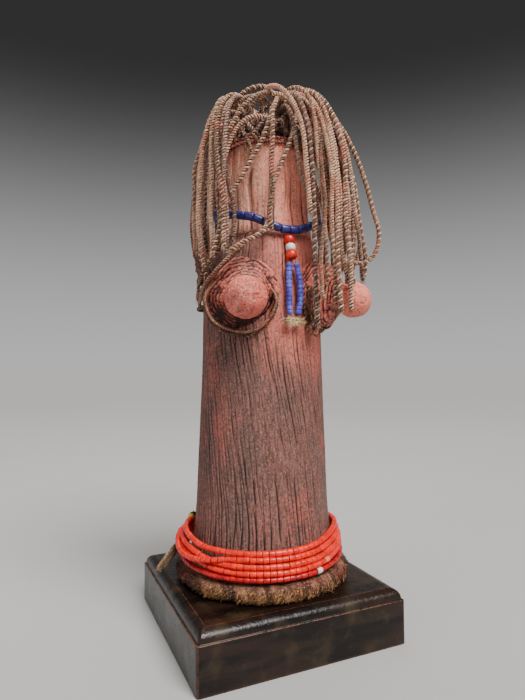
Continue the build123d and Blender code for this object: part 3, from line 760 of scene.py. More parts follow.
# Cords that start on the far side of the crown and come over the top of it.
CROSSING_ROUTES = [
    [
        (60, 8, 284), (50, 9, 294), (22, 11, 302), (-9, 16, 306.8), (-28, 19.1, 307.4),
        (-48, 21, 305.7), (-63, 23.6, 302.8), (-81, 28.2, 298.5), (-97, 34, 291), (-105, 39.2, 281),
        (-111, 42.6, 268), (-114, 44, 254), (-117, 44.4, 240), (-118, 43, 226),
    ],
    [
        (76, 7, 284), (70, 8, 293), (40, 8.5, 298.5), (-15, 11.5, 302.5), (-34, 16.5, 304),
        (-52, 21.5, 301.5), (-64, 26, 296.5), (-75, 30.5, 290), (-85, 34, 281.5), (-92, 37, 271),
        (-98, 38.5, 258), (-102, 39.5, 243), (-105, 39.8, 228), (-106, 39.4, 215),
    ],
    [
        (48, 16, 284), (44, 16.5, 292), (22, 17, 299.5), (-4, 19.2, 304), (-25, 22, 302.4),
        (-41, 25.4, 297.8), (-52, 29, 291.2), (-59, 33.2, 282.6), (-63, 37, 271.5),
        (-65, 39.5, 258), (-64, 41, 243), (-61, 42.5, 227), (-57, 44.5, 212),
    ],
    [
        (150, 6, 284), (150, 7, 295), (-160, 5, 302), (-110, 12, 305.5), (-98, 19, 306),
        (-96, 26.5, 301.5), (-98, 33.5, 291.5), (-101, 38, 277.5), (-104, 41, 261),
        (-107, 42.5, 243), (-108, 43.5, 225), (-106, 44, 211),
    ],
    [
        (-90, 13, 284), (-84, 13.5, 293), (-56, 14, 300), (-20, 17.5, 304), (2, 23, 302),
        (14, 29.5, 295), (19, 35.5, 284), (21, 40, 269), (22, 42.5, 252), (23, 44.5, 235),
        (23, 46.5, 219),
    ],
    [
        (-130, 8, 284), (-130, 8.5, 294), (-60, 6, 300), (20, 14, 303.5), (38, 24, 302.5),
        (46, 34, 295.5), (50, 42, 285), (52, 48, 267), (52, 51.5, 248), (51, 54.5, 229),
        (52, 57, 211), (56, 57.5, 197),
    ],
    [
        (100, 10, 284), (94, 11, 294), (80, 17, 302), (72, 27, 303.5), (69, 37, 296), (68, 46, 281),
        (68, 52.5, 262), (67, 56, 243), (66, 58.5, 226), (64, 60, 211), (62, 59, 199),
    ],
    [
        (0, 10, 284), (0, 11, 293), (2, 18, 300.5), (5, 26, 299.5), (8, 32, 291), (14, 36.5, 278),
        (23, 39.2, 262), (36, 40.6, 244), (50, 42.5, 228), (52, 45.2, 207),
    ],
    [
        (30, 9, 284), (26, 10, 292), (18, 17, 298.5), (13, 26, 297), (14, 31.5, 288.5),
        (20, 35, 274.5), (38, 37.6, 255), (52, 40.7, 236), (57, 44.8, 212),
    ],
    [
        (14, 9, 284), (12, 10, 291), (8, 17, 296.5), (4, 26, 295), (4, 32, 285), (5, 35, 272),
        (6, 36.8, 256), (13, 38.4, 242), (18, 39.8, 228), (20, 41.5, 214),
    ],
    [
        (24, 11, 284), (22, 12, 291), (16, 20, 295.5), (12, 29, 292), (11, 35.5, 282),
        (12, 38, 271), (15, 39.9, 256), (25, 40.9, 243), (35, 42.3, 226), (38, 44.6, 209),
    ],
    [
        (-6, 11, 284), (-8, 12, 291), (-13, 20, 294), (-16, 28, 290), (-17, 33.5, 281),
        (-17, 35.6, 270), (-20, 36.6, 254.5), (-20, 37.8, 240), (-20, 39.4, 228), (-17, 41, 218),
    ],
    [
        (-96, 8, 284), (-94, 9, 293), (-88, 16, 301), (-82, 26, 299), (-74, 33, 287),
        (-66, 35.8, 274), (-57, 38, 249), (-51, 39.6, 233), (-48, 42.5, 213),
    ],
    [
        (-108, 9, 284), (-105, 10, 293), (-99, 19, 299.5), (-94, 29, 294), (-86, 34.2, 280),
        (-76, 37, 262), (-68, 37.8, 249), (-58, 38.9, 238), (-49, 39.5, 230),
    ],
    [
        (36, 7, 284), (32, 8, 294), (24, 17, 303), (19, 27, 300.5), (22, 34, 288), (36, 38.6, 270),
        (50, 42, 253), (55, 45.1, 230), (57, 47.5, 212),
    ],
]
DARK_CROSSINGS = (1, 5, 9, 12, 14)

for order, (beside_node, *change) in enumerate(NEIGHBOURS):
    lay_cord(
        f"hair_extra_{order + 1}", beside(hair_routes[beside_node], *change), order + 40,
        hair_look(order % 4 == 3), radius=CORD_RADIUS * draw.uniform(0.82, 1.04),
        give=4.2,
    )
for order, route in enumerate(CROSSING_ROUTES):
    lay_cord(
        f"hair_crossing_{order + 1}", route, order + 90, hair_look(order in DARK_CROSSINGS),
        radius=CORD_RADIUS * draw.uniform(0.9, 1.02), give=3.6,
    )

# ---------------------------------------------------------------- body and head

COVER_REACHES = (44.0, 42.6, 41.0, 39.5, 38.6, 37.1, 35.6, 34.7, 33.8, 32.2, 29.6, 26.5)
COVER_HEIGHTS = (28.4, 38.6, 46.0, 55.0, 65.0, 105.0, 150.0, 185.0, 200.0, 210.0, 218.0, 224.0)
COVER_THICKNESS = 2.4
COVER_LIP = (25.4, 23.5)
COVER_TOP = COVER_HEIGHTS[-1]
CREASE_LEAN = 0.42
CREASE_DRUM = 0.036
HEAD_REACH = 25.5
HEAD_INNER_REACH = 23.2


def ring_points(azimuths, reach, height, axis=(0, 0)):
    """One level ring of points, in metres."""
    turn = np.radians(azimuths)
    x = axis[0] + reach * np.sin(turn)
    y = axis[1] - reach * np.cos(turn)
    return np.stack([x, y, np.full_like(x, height)], -1) * MM


def creases(points, count, wander, run, seed, lean, axis=(0.0, 0.0)):
    """Upright creases that wander, stop and start, count of them round the axis: 1 at their bottoms."""
    turn = np.arctan2(points[..., 1] - axis[1] * MM, points[..., 0] - axis[0] * MM)
    turn = turn + lean * rise(points[..., 2], 0.055, 0.185)
    drum = np.stack([CREASE_DRUM * np.cos(turn), CREASE_DRUM * np.sin(turn), points[..., 2]], -1)
    sway = grain(drum, (42, 42, 15), seed) + 0.45 * grain(drum, (150, 150, 38), seed + 4)
    line = np.abs(np.sin(turn * count / 2 + wander * sway))
    across = count / CREASE_DRUM / 7
    kept = rise(grain(drum, (across, across, 1000 / run), seed + 9), -0.45, 0.12)
    return (1 - rise(line, 0.0, 0.62)) * kept


def make_bark():
    """The bark cover: wrinkled upright down the outside, and a plain inside."""
    azimuths = np.linspace(0, 360, 760, endpoint=False)
    heights = np.concatenate([np.linspace(28.4, 214, 120), np.linspace(215, 224, 8), [225.0, 225.6]])
    reaches = smooth_line(COVER_HEIGHTS, COVER_REACHES, np.minimum(heights, COVER_TOP))
    reaches[-2:] = COVER_LIP
    rings = []
    for height, reach in zip(heights, reaches):
        slim = float(rise(height, 50, 150) * (1 - rise(height, 195, 215)))
        share = float(0.2 * rise(height, 50, 150) + 0.8 * rise(height, 205, 224))
        axis = (HEAD_AXIS[0] * share, HEAD_AXIS[1] * share)
        rings.append(ring_points(azimuths, reach - 0.4 * slim, height, axis))
    rings = np.array(rings)
    broad = creases(rings, 61, 3.2, 44, 3.0, CREASE_LEAN)
    fine = creases(rings, 113, 4.6, 40, 8.0, CREASE_LEAN)
    cracks = creases(rings, 31, 3.0, 26, 13.0, CREASE_LEAN)
    lump = grain(rings, (60, 60, 30), 21.0)
    grit = grain(rings, (900, 900, 600), 5.0)
    calm = rise(heights, 27, 34)[:, None] * (1 - 0.8 * rise(heights, 219, 225))[:, None]
    deep = rise(grain(rings, (36, 36, 20), 41.0), -0.4, 0.3)
    depth = ((0.24 + 0.2 * deep) * broad + (0.4 + 0.16 * deep) * fine + 0.08 * cracks) * calm
    depth -= 0.16 * lump + 0.12 * grit
    out = rings.copy()
    out[..., 2] = 0
    out = unit(out)
    rings -= out * np.clip(depth, -0.28, 1.3)[..., None] * MM
    # Painted shade in the creases: the deeper the crease, the lower the groove value.
    groove = np.clip(1 - depth / 0.6, 0, 1)
    inner = np.array([
        ring_points(azimuths, reach - COVER_THICKNESS, height)
        for height, reach in zip(COVER_HEIGHTS[::-1], COVER_REACHES[::-1])
    ])
    shape = Shape()
    # The inside gets groove 0.3: painted shade in the hollow of the cover.
    grooves = np.concatenate([groove, np.full((len(inner), len(azimuths)), 0.3)])
    shape.add(np.concatenate([rings, inner]), grooves, loop=True)
    shape.make("bark_skin", bark_material, "doll_body", "ochred_bark", "bark_cover")


def make_head():
    """The head's cover: broad upright flutes with finer creases, flaring a little to the shoulder."""
    azimuths = np.linspace(0, 360, 420, endpoint=False)
    heights = np.concatenate([np.linspace(221, 272, 84), [273.0, 274.2, 275.2, 275.8, 276.0]])
    reaches = HEAD_REACH + 2.3 * (1 - rise(heights, 221, 238))
    reaches[-4:] -= (0.1, 0.4, 0.9, 1.9)
    rings = np.array([
        ring_points(azimuths, reach, height, HEAD_AXIS) for height, reach in zip(heights, reaches)
    ])
    drift = grain(rings, (40, 40, 14), 33.0) * 14
    flute = 0.5 + 0.5 * np.cos(np.radians((azimuths[None, :] + drift) * 15))
    broad = creases(rings, 25, 2.4, 40, 14.0, 0.0, HEAD_AXIS)
    fine = creases(rings, 71, 4.0, 30, 18.0, 0.0, HEAD_AXIS)
    lump = grain(rings, (70, 70, 24), 29.0)
    depth = 0.6 * (1 - flute) ** 2 + 0.6 * broad + 0.32 * fine
    depth -= 0.2 * lump
    out = rings - np.array((*HEAD_AXIS, 0)) * MM
    out[..., 2] = 0
    rings = rings - unit(out) * np.clip(depth, -0.2, 1.5)[..., None] * MM
    # Painted shade in the flute hollows and creases: the deeper, the lower the groove value.
    groove = np.clip(1.05 - depth / 1.1, 0, 1)
    inner = np.array([
        ring_points(azimuths, HEAD_INNER_REACH, height, HEAD_AXIS) for height in (275.5, 221.5)
    ])
    shape = Shape()
    # The inside gets groove 0.1: painted shade in the hollow of the head.
    grooves = np.concatenate([groove, np.full((2, len(azimuths)), 0.1)])
    shape.add(np.concatenate([rings, inner]), grooves, loop=True)
    shape.make("head_skin", face_material, "doll_body", "ochred_bark", "head_cover")


make_bark()
make_head()


CROWN_OUTLINE = (
    (24.0, 274.6), (23.8, 276.6), (22.0, 279.0), (19.5, 282.0), (16.5, 285.4), (12.0, 288.4),
    (6.0, 290.4), (0.6, 290.8),
)
# Cord loops in the crown: the first lie in a spiral all over it, more in front, the rest behind.
CROWN_LOOPS, SPIRAL_LOOPS, FRONT_LOOPS_END = 116, 54, 90
GOLDEN_ANGLE = 137.5


def make_crown():
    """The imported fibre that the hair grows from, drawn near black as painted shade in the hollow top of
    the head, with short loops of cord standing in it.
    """
    azimuths = np.linspace(0, 360, 120, endpoint=False)
    places = [CROWN_OUTLINE[0]]
    for a, b in zip(CROWN_OUTLINE, CROWN_OUTLINE[1:]):
        places += [((a[0] + b[0]) / 2, (a[1] + b[1]) / 2), b]
    rings = np.array([ring_points(azimuths, *place, HEAD_AXIS) for place in places])
    tangle = grain(rings, (300, 300, 300), 3.0) * 1.6 + grain(rings, (800, 800, 800), 6.0) * 0.6
    weight = rise(np.linalg.norm(rings[..., :2] - np.array(HEAD_AXIS) * MM, axis=-1), 0.0005, 0.004)
    rings[..., 2] += tangle * weight * MM
    shape = Shape()
    shape.add(rings, np.clip(0.5 + tangle * 0.5, 0, 1))
    shape.make("crown_mass", crown_shade_material, "doll_body", "crown_fibre", "crown_bundle")

    loops = Shape()
    lift = (0, 0, 2 * MM)
    for k in range(CROWN_LOOPS):
        if k < SPIRAL_LOOPS:
            azimuth, reach = k * GOLDEN_ANGLE, 5 + 18 * ((k * 0.618) % 1)
        else:
            azimuth = draw.uniform(-95, 45) if k < FRONT_LOOPS_END else draw.uniform(110, 240)
            reach = draw.uniform(12, 23)
        top = 293.5 - 0.55 * max(0, reach - 6)
        foot = upright_point(azimuth, reach, 276, HEAD_AXIS)
        over = (azimuth + draw.uniform(-30, 30), reach + draw.uniform(0, 3), top + 4 * draw.random())
        over = upright_point(*over, HEAD_AXIS)
        far = (azimuth + draw.uniform(18, 44), reach + draw.uniform(-2, 2), 277)
        far = upright_point(*far, HEAD_AXIS)
        rising, falling = foot * 0.4 + over * 0.6 + lift, far * 0.4 + over * 0.6
        line = spline_points([foot, rising, over + lift, falling, far])
        add_twist(loops, line, draw.uniform(0.95, 1.25) * MM, 4.0 * MM, fuzz=4)
    loops.make("crown_loops", dark_hair_material, "doll_body", "crown_fibre")


make_crown()


def ring_line(reach, level, wobble, seed, start=0.0, turn=360.0, count=180, axis=(0.0, 0.0)):
    """Points round an upright axis, swaying a little; level gives the height at each azimuth."""
    points = []
    for azimuth in np.linspace(start, start + turn, count):
        bearing = math.radians(azimuth)
        sway = wobble * noise.noise(Vector((math.cos(bearing) * 2, math.sin(bearing) * 2, seed)))
        points.append(upright_point(azimuth, reach + 0.3 * sway, level(azimuth) + sway, axis))
    return np.array(points)


BROW_LACE = [
    [(-46, 28.2, 276.5), (-44, 28.3, 273.0), (-41, 28.4, 270.0), (-40, 28.2, 266.5), (-43, 28.0, 263.8)],
    [(-33, 27.3, 272.5), (-36, 28.6, 275.5), (-42, 28.9, 276.2), (-47, 28.4, 273.5), (-48, 27.6, 269.5),
     (-46, 27.3, 266.0)],
]


def make_lashing():
    """Two turns of thin cord round the rim of the head, higher in front, and the curled brow lace."""
    shape = Shape()
    for place, height in enumerate((271.6, 274.3)):
        def level(azimuth, height=height):
            return height + 0.5 * math.cos(math.radians(azimuth + 10))

        line = ring_line(26.1, level, wobble=0.5, seed=place, count=220, axis=HEAD_AXIS)
        add_twist(shape, line, 0.85 * MM, 2.6 * MM, sides=7, fuzz=30)
    shape.make("lashing_cords", lashing_material, "doll_body", "ochre_cord", "rim_lashing")
    lace = Shape()
    for route, radius, lay in zip(BROW_LACE, (0.95, 0.8), (2.5, 2.4)):
        line = spline_points([upright_point(*place, HEAD_AXIS) for place in route])
        add_twist(lace, line, radius * MM, lay * MM, sides=7, fray=0.6, fuzz=8)
    lace.make("brow_lace_twist", wrap_material, "doll_body", "ochre_cord", "brow_lace")


make_lashing()

# ---------------------------------------------------------------- breasts and harness

BREAST_ROOT_REACH = 36.0


def breast_frame(root_azimuth, height, direction, droop):
    """The breast's root and its axes: out along it, sideways, and up, in metres."""
    root = upright_point(root_azimuth, BREAST_ROOT_REACH, height)
    turn, tilt = math.radians(direction), math.radians(droop)
    flat = np.array((math.sin(turn), -math.cos(turn), 0))
    outward = flat * math.cos(tilt) - np.array((0, 0, math.sin(tilt)))
    sideways = np.array((-flat[1], flat[0], 0.0))
    return root, outward, sideways, np.cross(outward, sideways)


# What sets each breast's hide apart: how far its ball is pulled sideways (mm), how much its skirt
# spreads to the upper side, and how much painted shade darkens its skirt, the skirt's lower side and the
# neck.
MOULDS = {
    "left": {"drift": 3.2, "spread": 0.24, "dark": 0.26, "shade_below": 0.44, "neck_shade": 0.42},
    "right": {"drift": 0.0, "spread": 0.0, "dark": 0.16, "shade_below": 0.3, "neck_shade": 0.2},
}
# Turns of cord round the root, (offset, reach, radius), and round the right neck, offsets.
ROOT_TIES = ((3.6, 19.1, 0.95), (5.6, 18.4, 0.7), (1.6, 19.8, 0.75))
NECK_TIES = (-1.4, 0.2, 1.6)
# Cords from the back that pass over the left breast's root and under the collar.
SHOULDER_WRAPS = [
    [
        (-112, 36.4, 189), (-98, 36.8, 189), (-84, 38, 190), (-70, 42, 192.5), (-58, 45, 196),
        (-48, 45, 201.5), (-40, 43, 207), (-34, 39.5, 213), (-31, 36, 219),
    ],
    [
        (-114, 36.2, 184.5), (-101, 36.6, 184.5), (-88, 37.6, 185.5), (-76, 41, 188),
        (-66, 44.5, 191.5), (-58, 46.5, 195), (-50, 47, 200), (-43, 45, 206), (-38, 41, 212),
    ],
    [
        (-105, 36.4, 197), (-95, 37, 196), (-84, 39, 195.5), (-73, 43, 197), (-62, 45.5, 202),
        (-55, 43.5, 208), (-52, 40, 214),
    ],
]


def make_breast(side, place, ball_place, ball_radius, neck_angle, fullness, seed):
    """Stuffed hide: a skirt with round creases, its ball end, and the tie of cord at its root."""
    mould = MOULDS[side]
    root, outward, sideways, upward = breast_frame(*place)
    neck_turn = math.radians(neck_angle)
    neck_place = ball_place + ball_radius * math.sin(neck_turn)
    neck_radius = ball_radius * math.cos(neck_turn)
    distances, radii = [-9.0, -5.0], [18.4, 18.4]
    for share in np.linspace(0, 1, 12):
        distances.append(-1.5 + (neck_place + 1.2) * share)
        radii.append(neck_radius + 0.4 + (17.8 - neck_radius) * (1 - share**fullness))
    for turn in np.linspace(neck_turn, math.pi / 2 - 0.03, 30):
        distances.append(ball_place + ball_radius * math.sin(turn))
        radii.append(ball_radius * math.cos(turn))
    along = np.concatenate([[0], np.cumsum(np.hypot(np.diff(distances), np.diff(radii)))])
    at = np.linspace(0, along[-1], 160)
    steps = np.interp(at, along, distances)
    wide = np.interp(at, along, radii)
    angles = circle(300)
    across = sideways[None] * np.cos(angles)[:, None] + upward[None] * np.sin(angles)[:, None]
    drift = mould["drift"] * rise(steps, 0, neck_place + 1)
    centre = root + (outward * steps[:, None] + sideways * drift[:, None]) * MM
    skirt_share = (1 - rise(steps, neck_place - 0.5, neck_place + 2.5))[:, None]
    spread = 1 + mould["spread"] * skirt_share * np.clip(np.cos(angles - 0.95), 0, 1)[None]
    rings = centre[:, None] + across[None] * (wide[:, None] * spread)[..., None] * MM
    warp = grain(rings, (70, 70, 70), 4.0 + seed)
    phase = at[:, None] / 2.3 + warp * 1.7 + 0.5 * np.sin(angles * 2 + 1)[None]
    folds = np.abs(np.sin(phase * math.pi))
    broken = rise(grain(rings, (120, 120, 120), 31.0 + seed), -0.45, 0.1)
    fine = 1 - rise(np.abs(grain(rings, (330, 330, 330), 15.0 + seed)) * 2.6, 0, 0.5)
    fold_depth = ((1 - rise(folds, 0, 0.7)) * 1.1 * broken + 0.3 * fine) * skirt_share
    lump = grain(rings, (140, 140, 140), 2.0 + seed) * 0.75 + grain(rings, (420, 420, 420), 7.0) * 0.35
    pull = grain(rings, (900, 900, 900), 1.0) * 0.16
    crack = 1 - rise(np.abs(grain(rings, (230, 230, 230), 44.0 + seed)) * 2.6, 0, 0.2)
    crack = crack * 0.22 * (1 - skirt_share)
    depth = fold_depth - lump * (0.6 + 0.7 * skirt_share) - pull + crack
    normal = across[None] * 0.8 + outward * 0.6 * (1 - skirt_share[..., None])
    fade = np.sqrt(np.clip(wide / ball_radius, 0, 1))[:, None]
    rings = rings - unit(normal) * (np.clip(depth, -0.6, 1.4) * fade)[..., None] * MM
    neck = np.exp(-(((steps - neck_place) / 2.6) ** 2))[:, None]
    below = 0.5 - 0.5 * np.sin(angles)[None]
    # Painted shade: the skirt darker all over, more on its lower side and round the neck, and darker again
    # in its folds, dents and cracks.
    grooves = 1 - (mould["dark"] + mould["shade_below"] * below) * skirt_share - mould["neck_shade"] * neck
    grooves = grooves - fold_depth - np.clip(-lump, 0, 1) * 0.6 - crack * 1.6
    shape = Shape()
    shape.add(rings, np.clip(grooves, 0, 1))
    piece = shape.make(
        f"breast_hide_{side}", breast_material, "doll_body", "ochred_hide", f"breast_{side}"
    )

    ties = Shape()
    for turn_number, (offset, reach, radius) in enumerate(ROOT_TIES):
        points = []
        for angle in np.linspace(0.3, 0.3 + 2 * math.pi, 120):
            sway = 0.9 * math.sin(angle * 2 + turn_number * 2) + 0.6 * math.sin(angle * 5 + turn_number)
            sunk = float(rise(math.sin(angle), -0.1, 0.6))
            ring = sideways * math.cos(angle) + upward * math.sin(angle)
            away = outward * (offset + sway - 7 * sunk) + ring * (reach - 3.5 * sunk + 0.5 * sway)
            points.append(root + away * MM)
        add_twist(ties, np.array(points), radius * MM, 2.7 * MM, sides=7, fuzz=40)
    if side == "right":
        for turn_number, offset in enumerate(NECK_TIES):
            points = []
            for angle in np.linspace(1.2, 1.2 + 2 * math.pi, 90):
                sway = 0.7 * math.sin(angle * 2 + turn_number) + 0.4 * math.sin(angle * 3)
                ring = sideways * math.cos(angle) + upward * math.sin(angle)
                away = outward * (neck_place + offset + sway) + ring * (neck_radius + 0.7)
                points.append(root + away * MM)
            add_twist(ties, np.array(points), 0.8 * MM, 2.7 * MM, sides=7, fuzz=14)
    else:
        for wrap in SHOULDER_WRAPS:
            line = spline_points([upright_point(*place) for place in wrap])
            add_twist(ties, line, 1.05 * MM, 3.1 * MM, sides=7, fuzz=24)
    ties.make(f"breast_ties_{side}", wrap_material, "doll_body", "twisted_cord", f"breast_cord_{side}")


make_breast("left", (-41, 184.0, -23.5, 6.5), 20.5, 10.8, neck_angle=-56, fullness=0.85, seed=3.0)
make_breast("right", (42, 187.5, 36, 10), 21.5, 9.8, neck_angle=-50, fullness=3.4, seed=12.0)


def make_back_cords():
    """The harness: three cords round the back from breast to breast."""
    shape = Shape()
    for place, height in enumerate((182.0, 189.0, 196.0)):
        def level(azimuth, height=height, place=place):
            return height + 1.6 * math.sin(math.radians(azimuth * 1.5 + place * 50)) * (place - 0.6)

        line = ring_line(36.6, level, wobble=0.8, seed=place + 4, start=80, turn=204)
        add_twist(shape, line, 1.3 * MM, 4.4 * MM, fuzz=30)
    shape.make("harness_cords", wrap_material, "doll_body", "twisted_cord", "back_cords")


make_back_cords()


LUMP_RINGS = 30


def add_lump(shape, centre, sizes, seed, rough=0.28, spin=0.0):
    """A wrinkled lump: a ball pulled about by noise, its sizes along x, y and z in millimetres."""
    lat = np.linspace(-math.pi / 2 + 0.06, math.pi / 2 - 0.06, LUMP_RINGS)
    lon = circle(LUMP_RINGS * 2)
    ball = np.stack([
        np.cos(lat)[:, None] * np.cos(lon)[None],
        np.cos(lat)[:, None] * np.sin(lon)[None],
        np.broadcast_to(np.sin(lat)[:, None], (LUMP_RINGS, LUMP_RINGS * 2)),
    ], -1)
    wrinkle = 1 - rise(np.abs(grain(ball, 2.6, seed + 3)), 0, 0.22)
    dents = grain(ball, 1.9, seed) * rough * 1.6 - rough * wrinkle
    x, y, z = np.moveaxis(ball * (1 + dents[..., None]) * np.array(sizes) * MM, -1, 0)
    c, s = math.cos(spin), math.sin(spin)
    turned = np.stack([x * c - y * s, x * s + y * c, z], -1)
    # Painted shade in the dents: the groove value falls where the lump is pressed in.
    shape.add(np.asarray(centre) + turned, np.clip(0.75 + dents * 1.6, 0, 1))


def make_wad():
    """The hide wad at the left shoulder, in two lumps."""
    shape = Shape()
    add_lump(shape, upright_point(-99, 34.6, 206), (4.4, 6.2, 6.4), 4.0, spin=math.radians(-14))
    add_lump(shape, upright_point(-90, 34.6, 200), (3.4, 4.6, 4.2), 9.0, spin=math.radians(10))
    shape.make("hide_lump", bark_material, "doll_body", "ochred_hide", "hide_wad")


make_wad()


def make_clump():
    """The matted fibre where the dark forehead cord is caught against the body."""
    shape = Shape()
    middle = upright_point(23, 39.6, 169.5)
    add_lump(shape, middle, (3.4, 3.0, 5.0), 15.0, rough=0.34)
    for _ in range(90):
        lean = random_vector()
        begin = middle + lean * np.array((2.8, 2.4, 4.2)) * MM
        heading = lean + np.array((0.3, -0.3, -0.4))
        length = draw.uniform(1.4, 3.4) * MM
        add_fibre(shape, begin, heading, length, 0.14 * MM, 0.9, draw.random())
    shape.make("fibre_clump", wrap_material, "doll_body", "twisted_cord")


make_clump()

# ---------------------------------------------------------------- foot rim


RIM_REACH, RIM_HEIGHT = 43.6, 33.0
RIM_BOTTOM, RIM_TOP = 28.42, 37.4
RIM_FIBRES, RIM_STRAWS = 3400, 760
# Where pale straws stand close together, and (azimuth, length) of the long ones that stick out.
STRAW_TUFTS = (-60, -49, -31, -20, -7, 3, 27)
LONG_STRAWS = ((21, 4.2), (23, 5.5), (19, 3.0), (-60, 3.4), (112, 4.0), (170, 3.2), (240, 3.6))


def rim_place(angle, wide, high):
    """The (reach, height) on the rim at this angle round the roll, which is so wide and high."""
    return RIM_REACH + wide * math.cos(angle), RIM_HEIGHT + high * math.sin(angle)


def make_rim():
    """The foot rim: a roll of packed fibre with its cut ends standing out below and outside."""
    azimuths = np.linspace(0, 360, 420, endpoint=False)
    rings = np.array([ring_points(azimuths, *rim_place(angle, 5.6, 4.4)) for angle in circle(28)])
    tuft = grain(rings, (190, 190, 160), 6.0) * 0.32 + grain(rings, (700, 700, 260), 2.0) * 0.3
    middle = ring_points(azimuths, RIM_REACH, RIM_HEIGHT)
    rings = rings + unit(rings - middle[None]) * np.clip(tuft, -0.7, 0.35)[..., None] * MM
    rings[..., 2] = np.clip(rings[..., 2], RIM_BOTTOM * MM, RIM_TOP * MM)
    shape = Shape()
    # Painted shade in the roll's hollows: the groove value falls where it is pressed in.
    shape.add(rings, np.clip(0.5 + tuft * 0.8, 0, 1), loop=True)
    shape.make("rim_roll", rim_material, "doll_body", "fibre_rim", "foot_rim")

    fibres = Shape()
    for _ in range(RIM_FIBRES):
        azimuth = draw.uniform(0, 360)
        reach, height = rim_place(draw.uniform(-1.15, 0.7), 5.4, 4.1)
        height = max(28.9, height)
        start = upright_point(azimuth, reach, height)
        out, side = directions(azimuth)
        direction = out * draw.uniform(0.2, 1) + side * draw.uniform(-1.5, 1.5)
        direction = direction + np.array((0, 0, draw.uniform(-0.25, 0.6)))
        length = draw.uniform(0.8, 2.0) * MM
        room = (height - 28.5) * MM
        if direction[2] < 0 and length > room * 2:
            direction[2] = 0.05
        add_fibre(fibres, start, direction, length, draw.uniform(0.08, 0.16) * MM, 0.7, draw.random())
    fibres.make("rim_fibres", rim_material, "doll_body", "fibre_rim")

    pale = Shape()
    for _ in range(RIM_STRAWS):
        tufted = draw.random() < 0.8
        azimuth = draw.choice(STRAW_TUFTS) + draw.gauss(0, 4) if tufted else draw.uniform(0, 360)
        angle = draw.uniform(-0.75, 0.8)
        reach, height = rim_place(angle, 5.75, 4.5)
        start = upright_point(azimuth, reach, max(29.2, height))
        out, side = directions(azimuth)
        down = out * math.sin(angle) - np.array((0, 0, math.cos(angle)))
        direction = down * draw.uniform(0.5, 1) + side * draw.uniform(-0.9, -0.2)
        direction = direction + out * draw.uniform(0.1, 0.3)
        length = min(draw.uniform(1.2, 3.6), 0.3 + (start[2] / MM - 28.7) * 1.1) * MM
        radius = draw.uniform(0.12, 0.24) * MM
        add_fibre(pale, start, direction, length, radius, 0.35, draw.uniform(0.4, 1))
    for azimuth, length in LONG_STRAWS:
        start = upright_point(azimuth, 48.4, 31.0)
        out, side = directions(azimuth)
        direction = out + side * draw.uniform(-0.6, 0.9) + np.array((0, 0, -0.2))
        add_fibre(pale, start, direction, length * MM, 0.12 * MM, 0.4, 1.0)
    pale.make("rim_straw", rim_straw_material, "doll_body", "straw_fibre")


make_rim()

# ---------------------------------------------------------------- plinth


PLINTH_HALF = 57.5
PLINTH_TOP = 28.3
MOULDING_RADIUS = 4.7
# The plinth's profile as (inset, height, wear), below its moulding and then on its top.
PLINTH_SIDE = [
    (0.5, 0.0, 0), (0.15, 0.15, 0.3), (0.0, 0.5, 0.2), (0.0, 1.5, 0), (0.0, 8.0, 0), (0.0, 15.0, 0),
    (0.0, 21.5, 0), (0.0, 22.55, 0), (0.05, 22.75, 0.5), (0.2, 22.93, 0.9), (0.42, 23.0, 0.35),
    (1.0, 23.05, 0), (1.0, 23.4, 0),
]
PLINTH_UPPER = [(5.9, 0.2), (6.05, 0.75), (6.25, 0.25), (6.5, 0), (11.0, 0), (22.0, 0), (38.0, 0)]
# The pin hole's rings as (reach, height), down to where the pin stands.
PIN_HOLE = ((3.4, 28.3), (3.0, 28.1), (3.0, 8.3))


def make_plinth():
    """The stepped plinth: block, ledge, rounded moulding, flat top and pin hole, with worn arrises."""
    outline = list(PLINTH_SIDE)
    for turn in np.linspace(0, math.pi / 2, 14):
        inset = 1.0 + MOULDING_RADIUS * (1 - math.cos(turn))
        outline.append((inset, 23.5 + MOULDING_RADIUS * math.sin(turn), 0))
    outline += [(inset, PLINTH_TOP, wear) for inset, wear in PLINTH_UPPER]
    per_side = 64
    rings, wears = [], []
    for inset, height, wear in outline:
        reach = PLINTH_HALF - inset
        corner = max(0.5, 1.6 - 0.12 * inset)
        points = []
        for side in range(4):
            c, s = math.cos(side * math.pi / 2), math.sin(side * math.pi / 2)
            for t in np.linspace(-1, 1, per_side, endpoint=False):
                x, y = t * (reach - corner), -reach
                points.append((x * c - y * s, x * s + y * c))
            for turn in np.linspace(0, math.pi / 2, 7, endpoint=False):
                x = reach - corner + corner * math.sin(turn)
                y = -(reach - corner + corner * math.cos(turn))
                points.append((x * c - y * s, x * s + y * c))
        points = np.array(points)
        rings.append(np.column_stack([points, np.full(len(points), height)]) * MM)
        wears.append(np.full(len(points), wear))
    count = len(rings[0])
    angles = np.arctan2(rings[-1][:, 1], rings[-1][:, 0])
    for reach, height in PIN_HOLE:
        x, y = reach * np.cos(angles), reach * np.sin(angles)
        rings.append(np.column_stack([x, y, np.full(count, height)]) * MM)
        wears.append(np.zeros(count))
    rings, wears = np.array(rings), np.array(wears)
    nearness = np.minimum(np.abs(rings[..., 0]), np.abs(rings[..., 1])) * 1000
    corner_wear = np.clip(nearness - 56.2, 0, 1) * 0.7
    shape = Shape()
    shape.add(rings, np.clip(np.maximum(wears, corner_wear * 0.75), 0, 1))
    shape.make("lacquered_plinth", lacquer, "plinth_body", "lacquered_wood", "plinth")


make_plinth()

# ---------------------------------------------------------------- beads


THREAD_RADIUS = 0.35 * MM


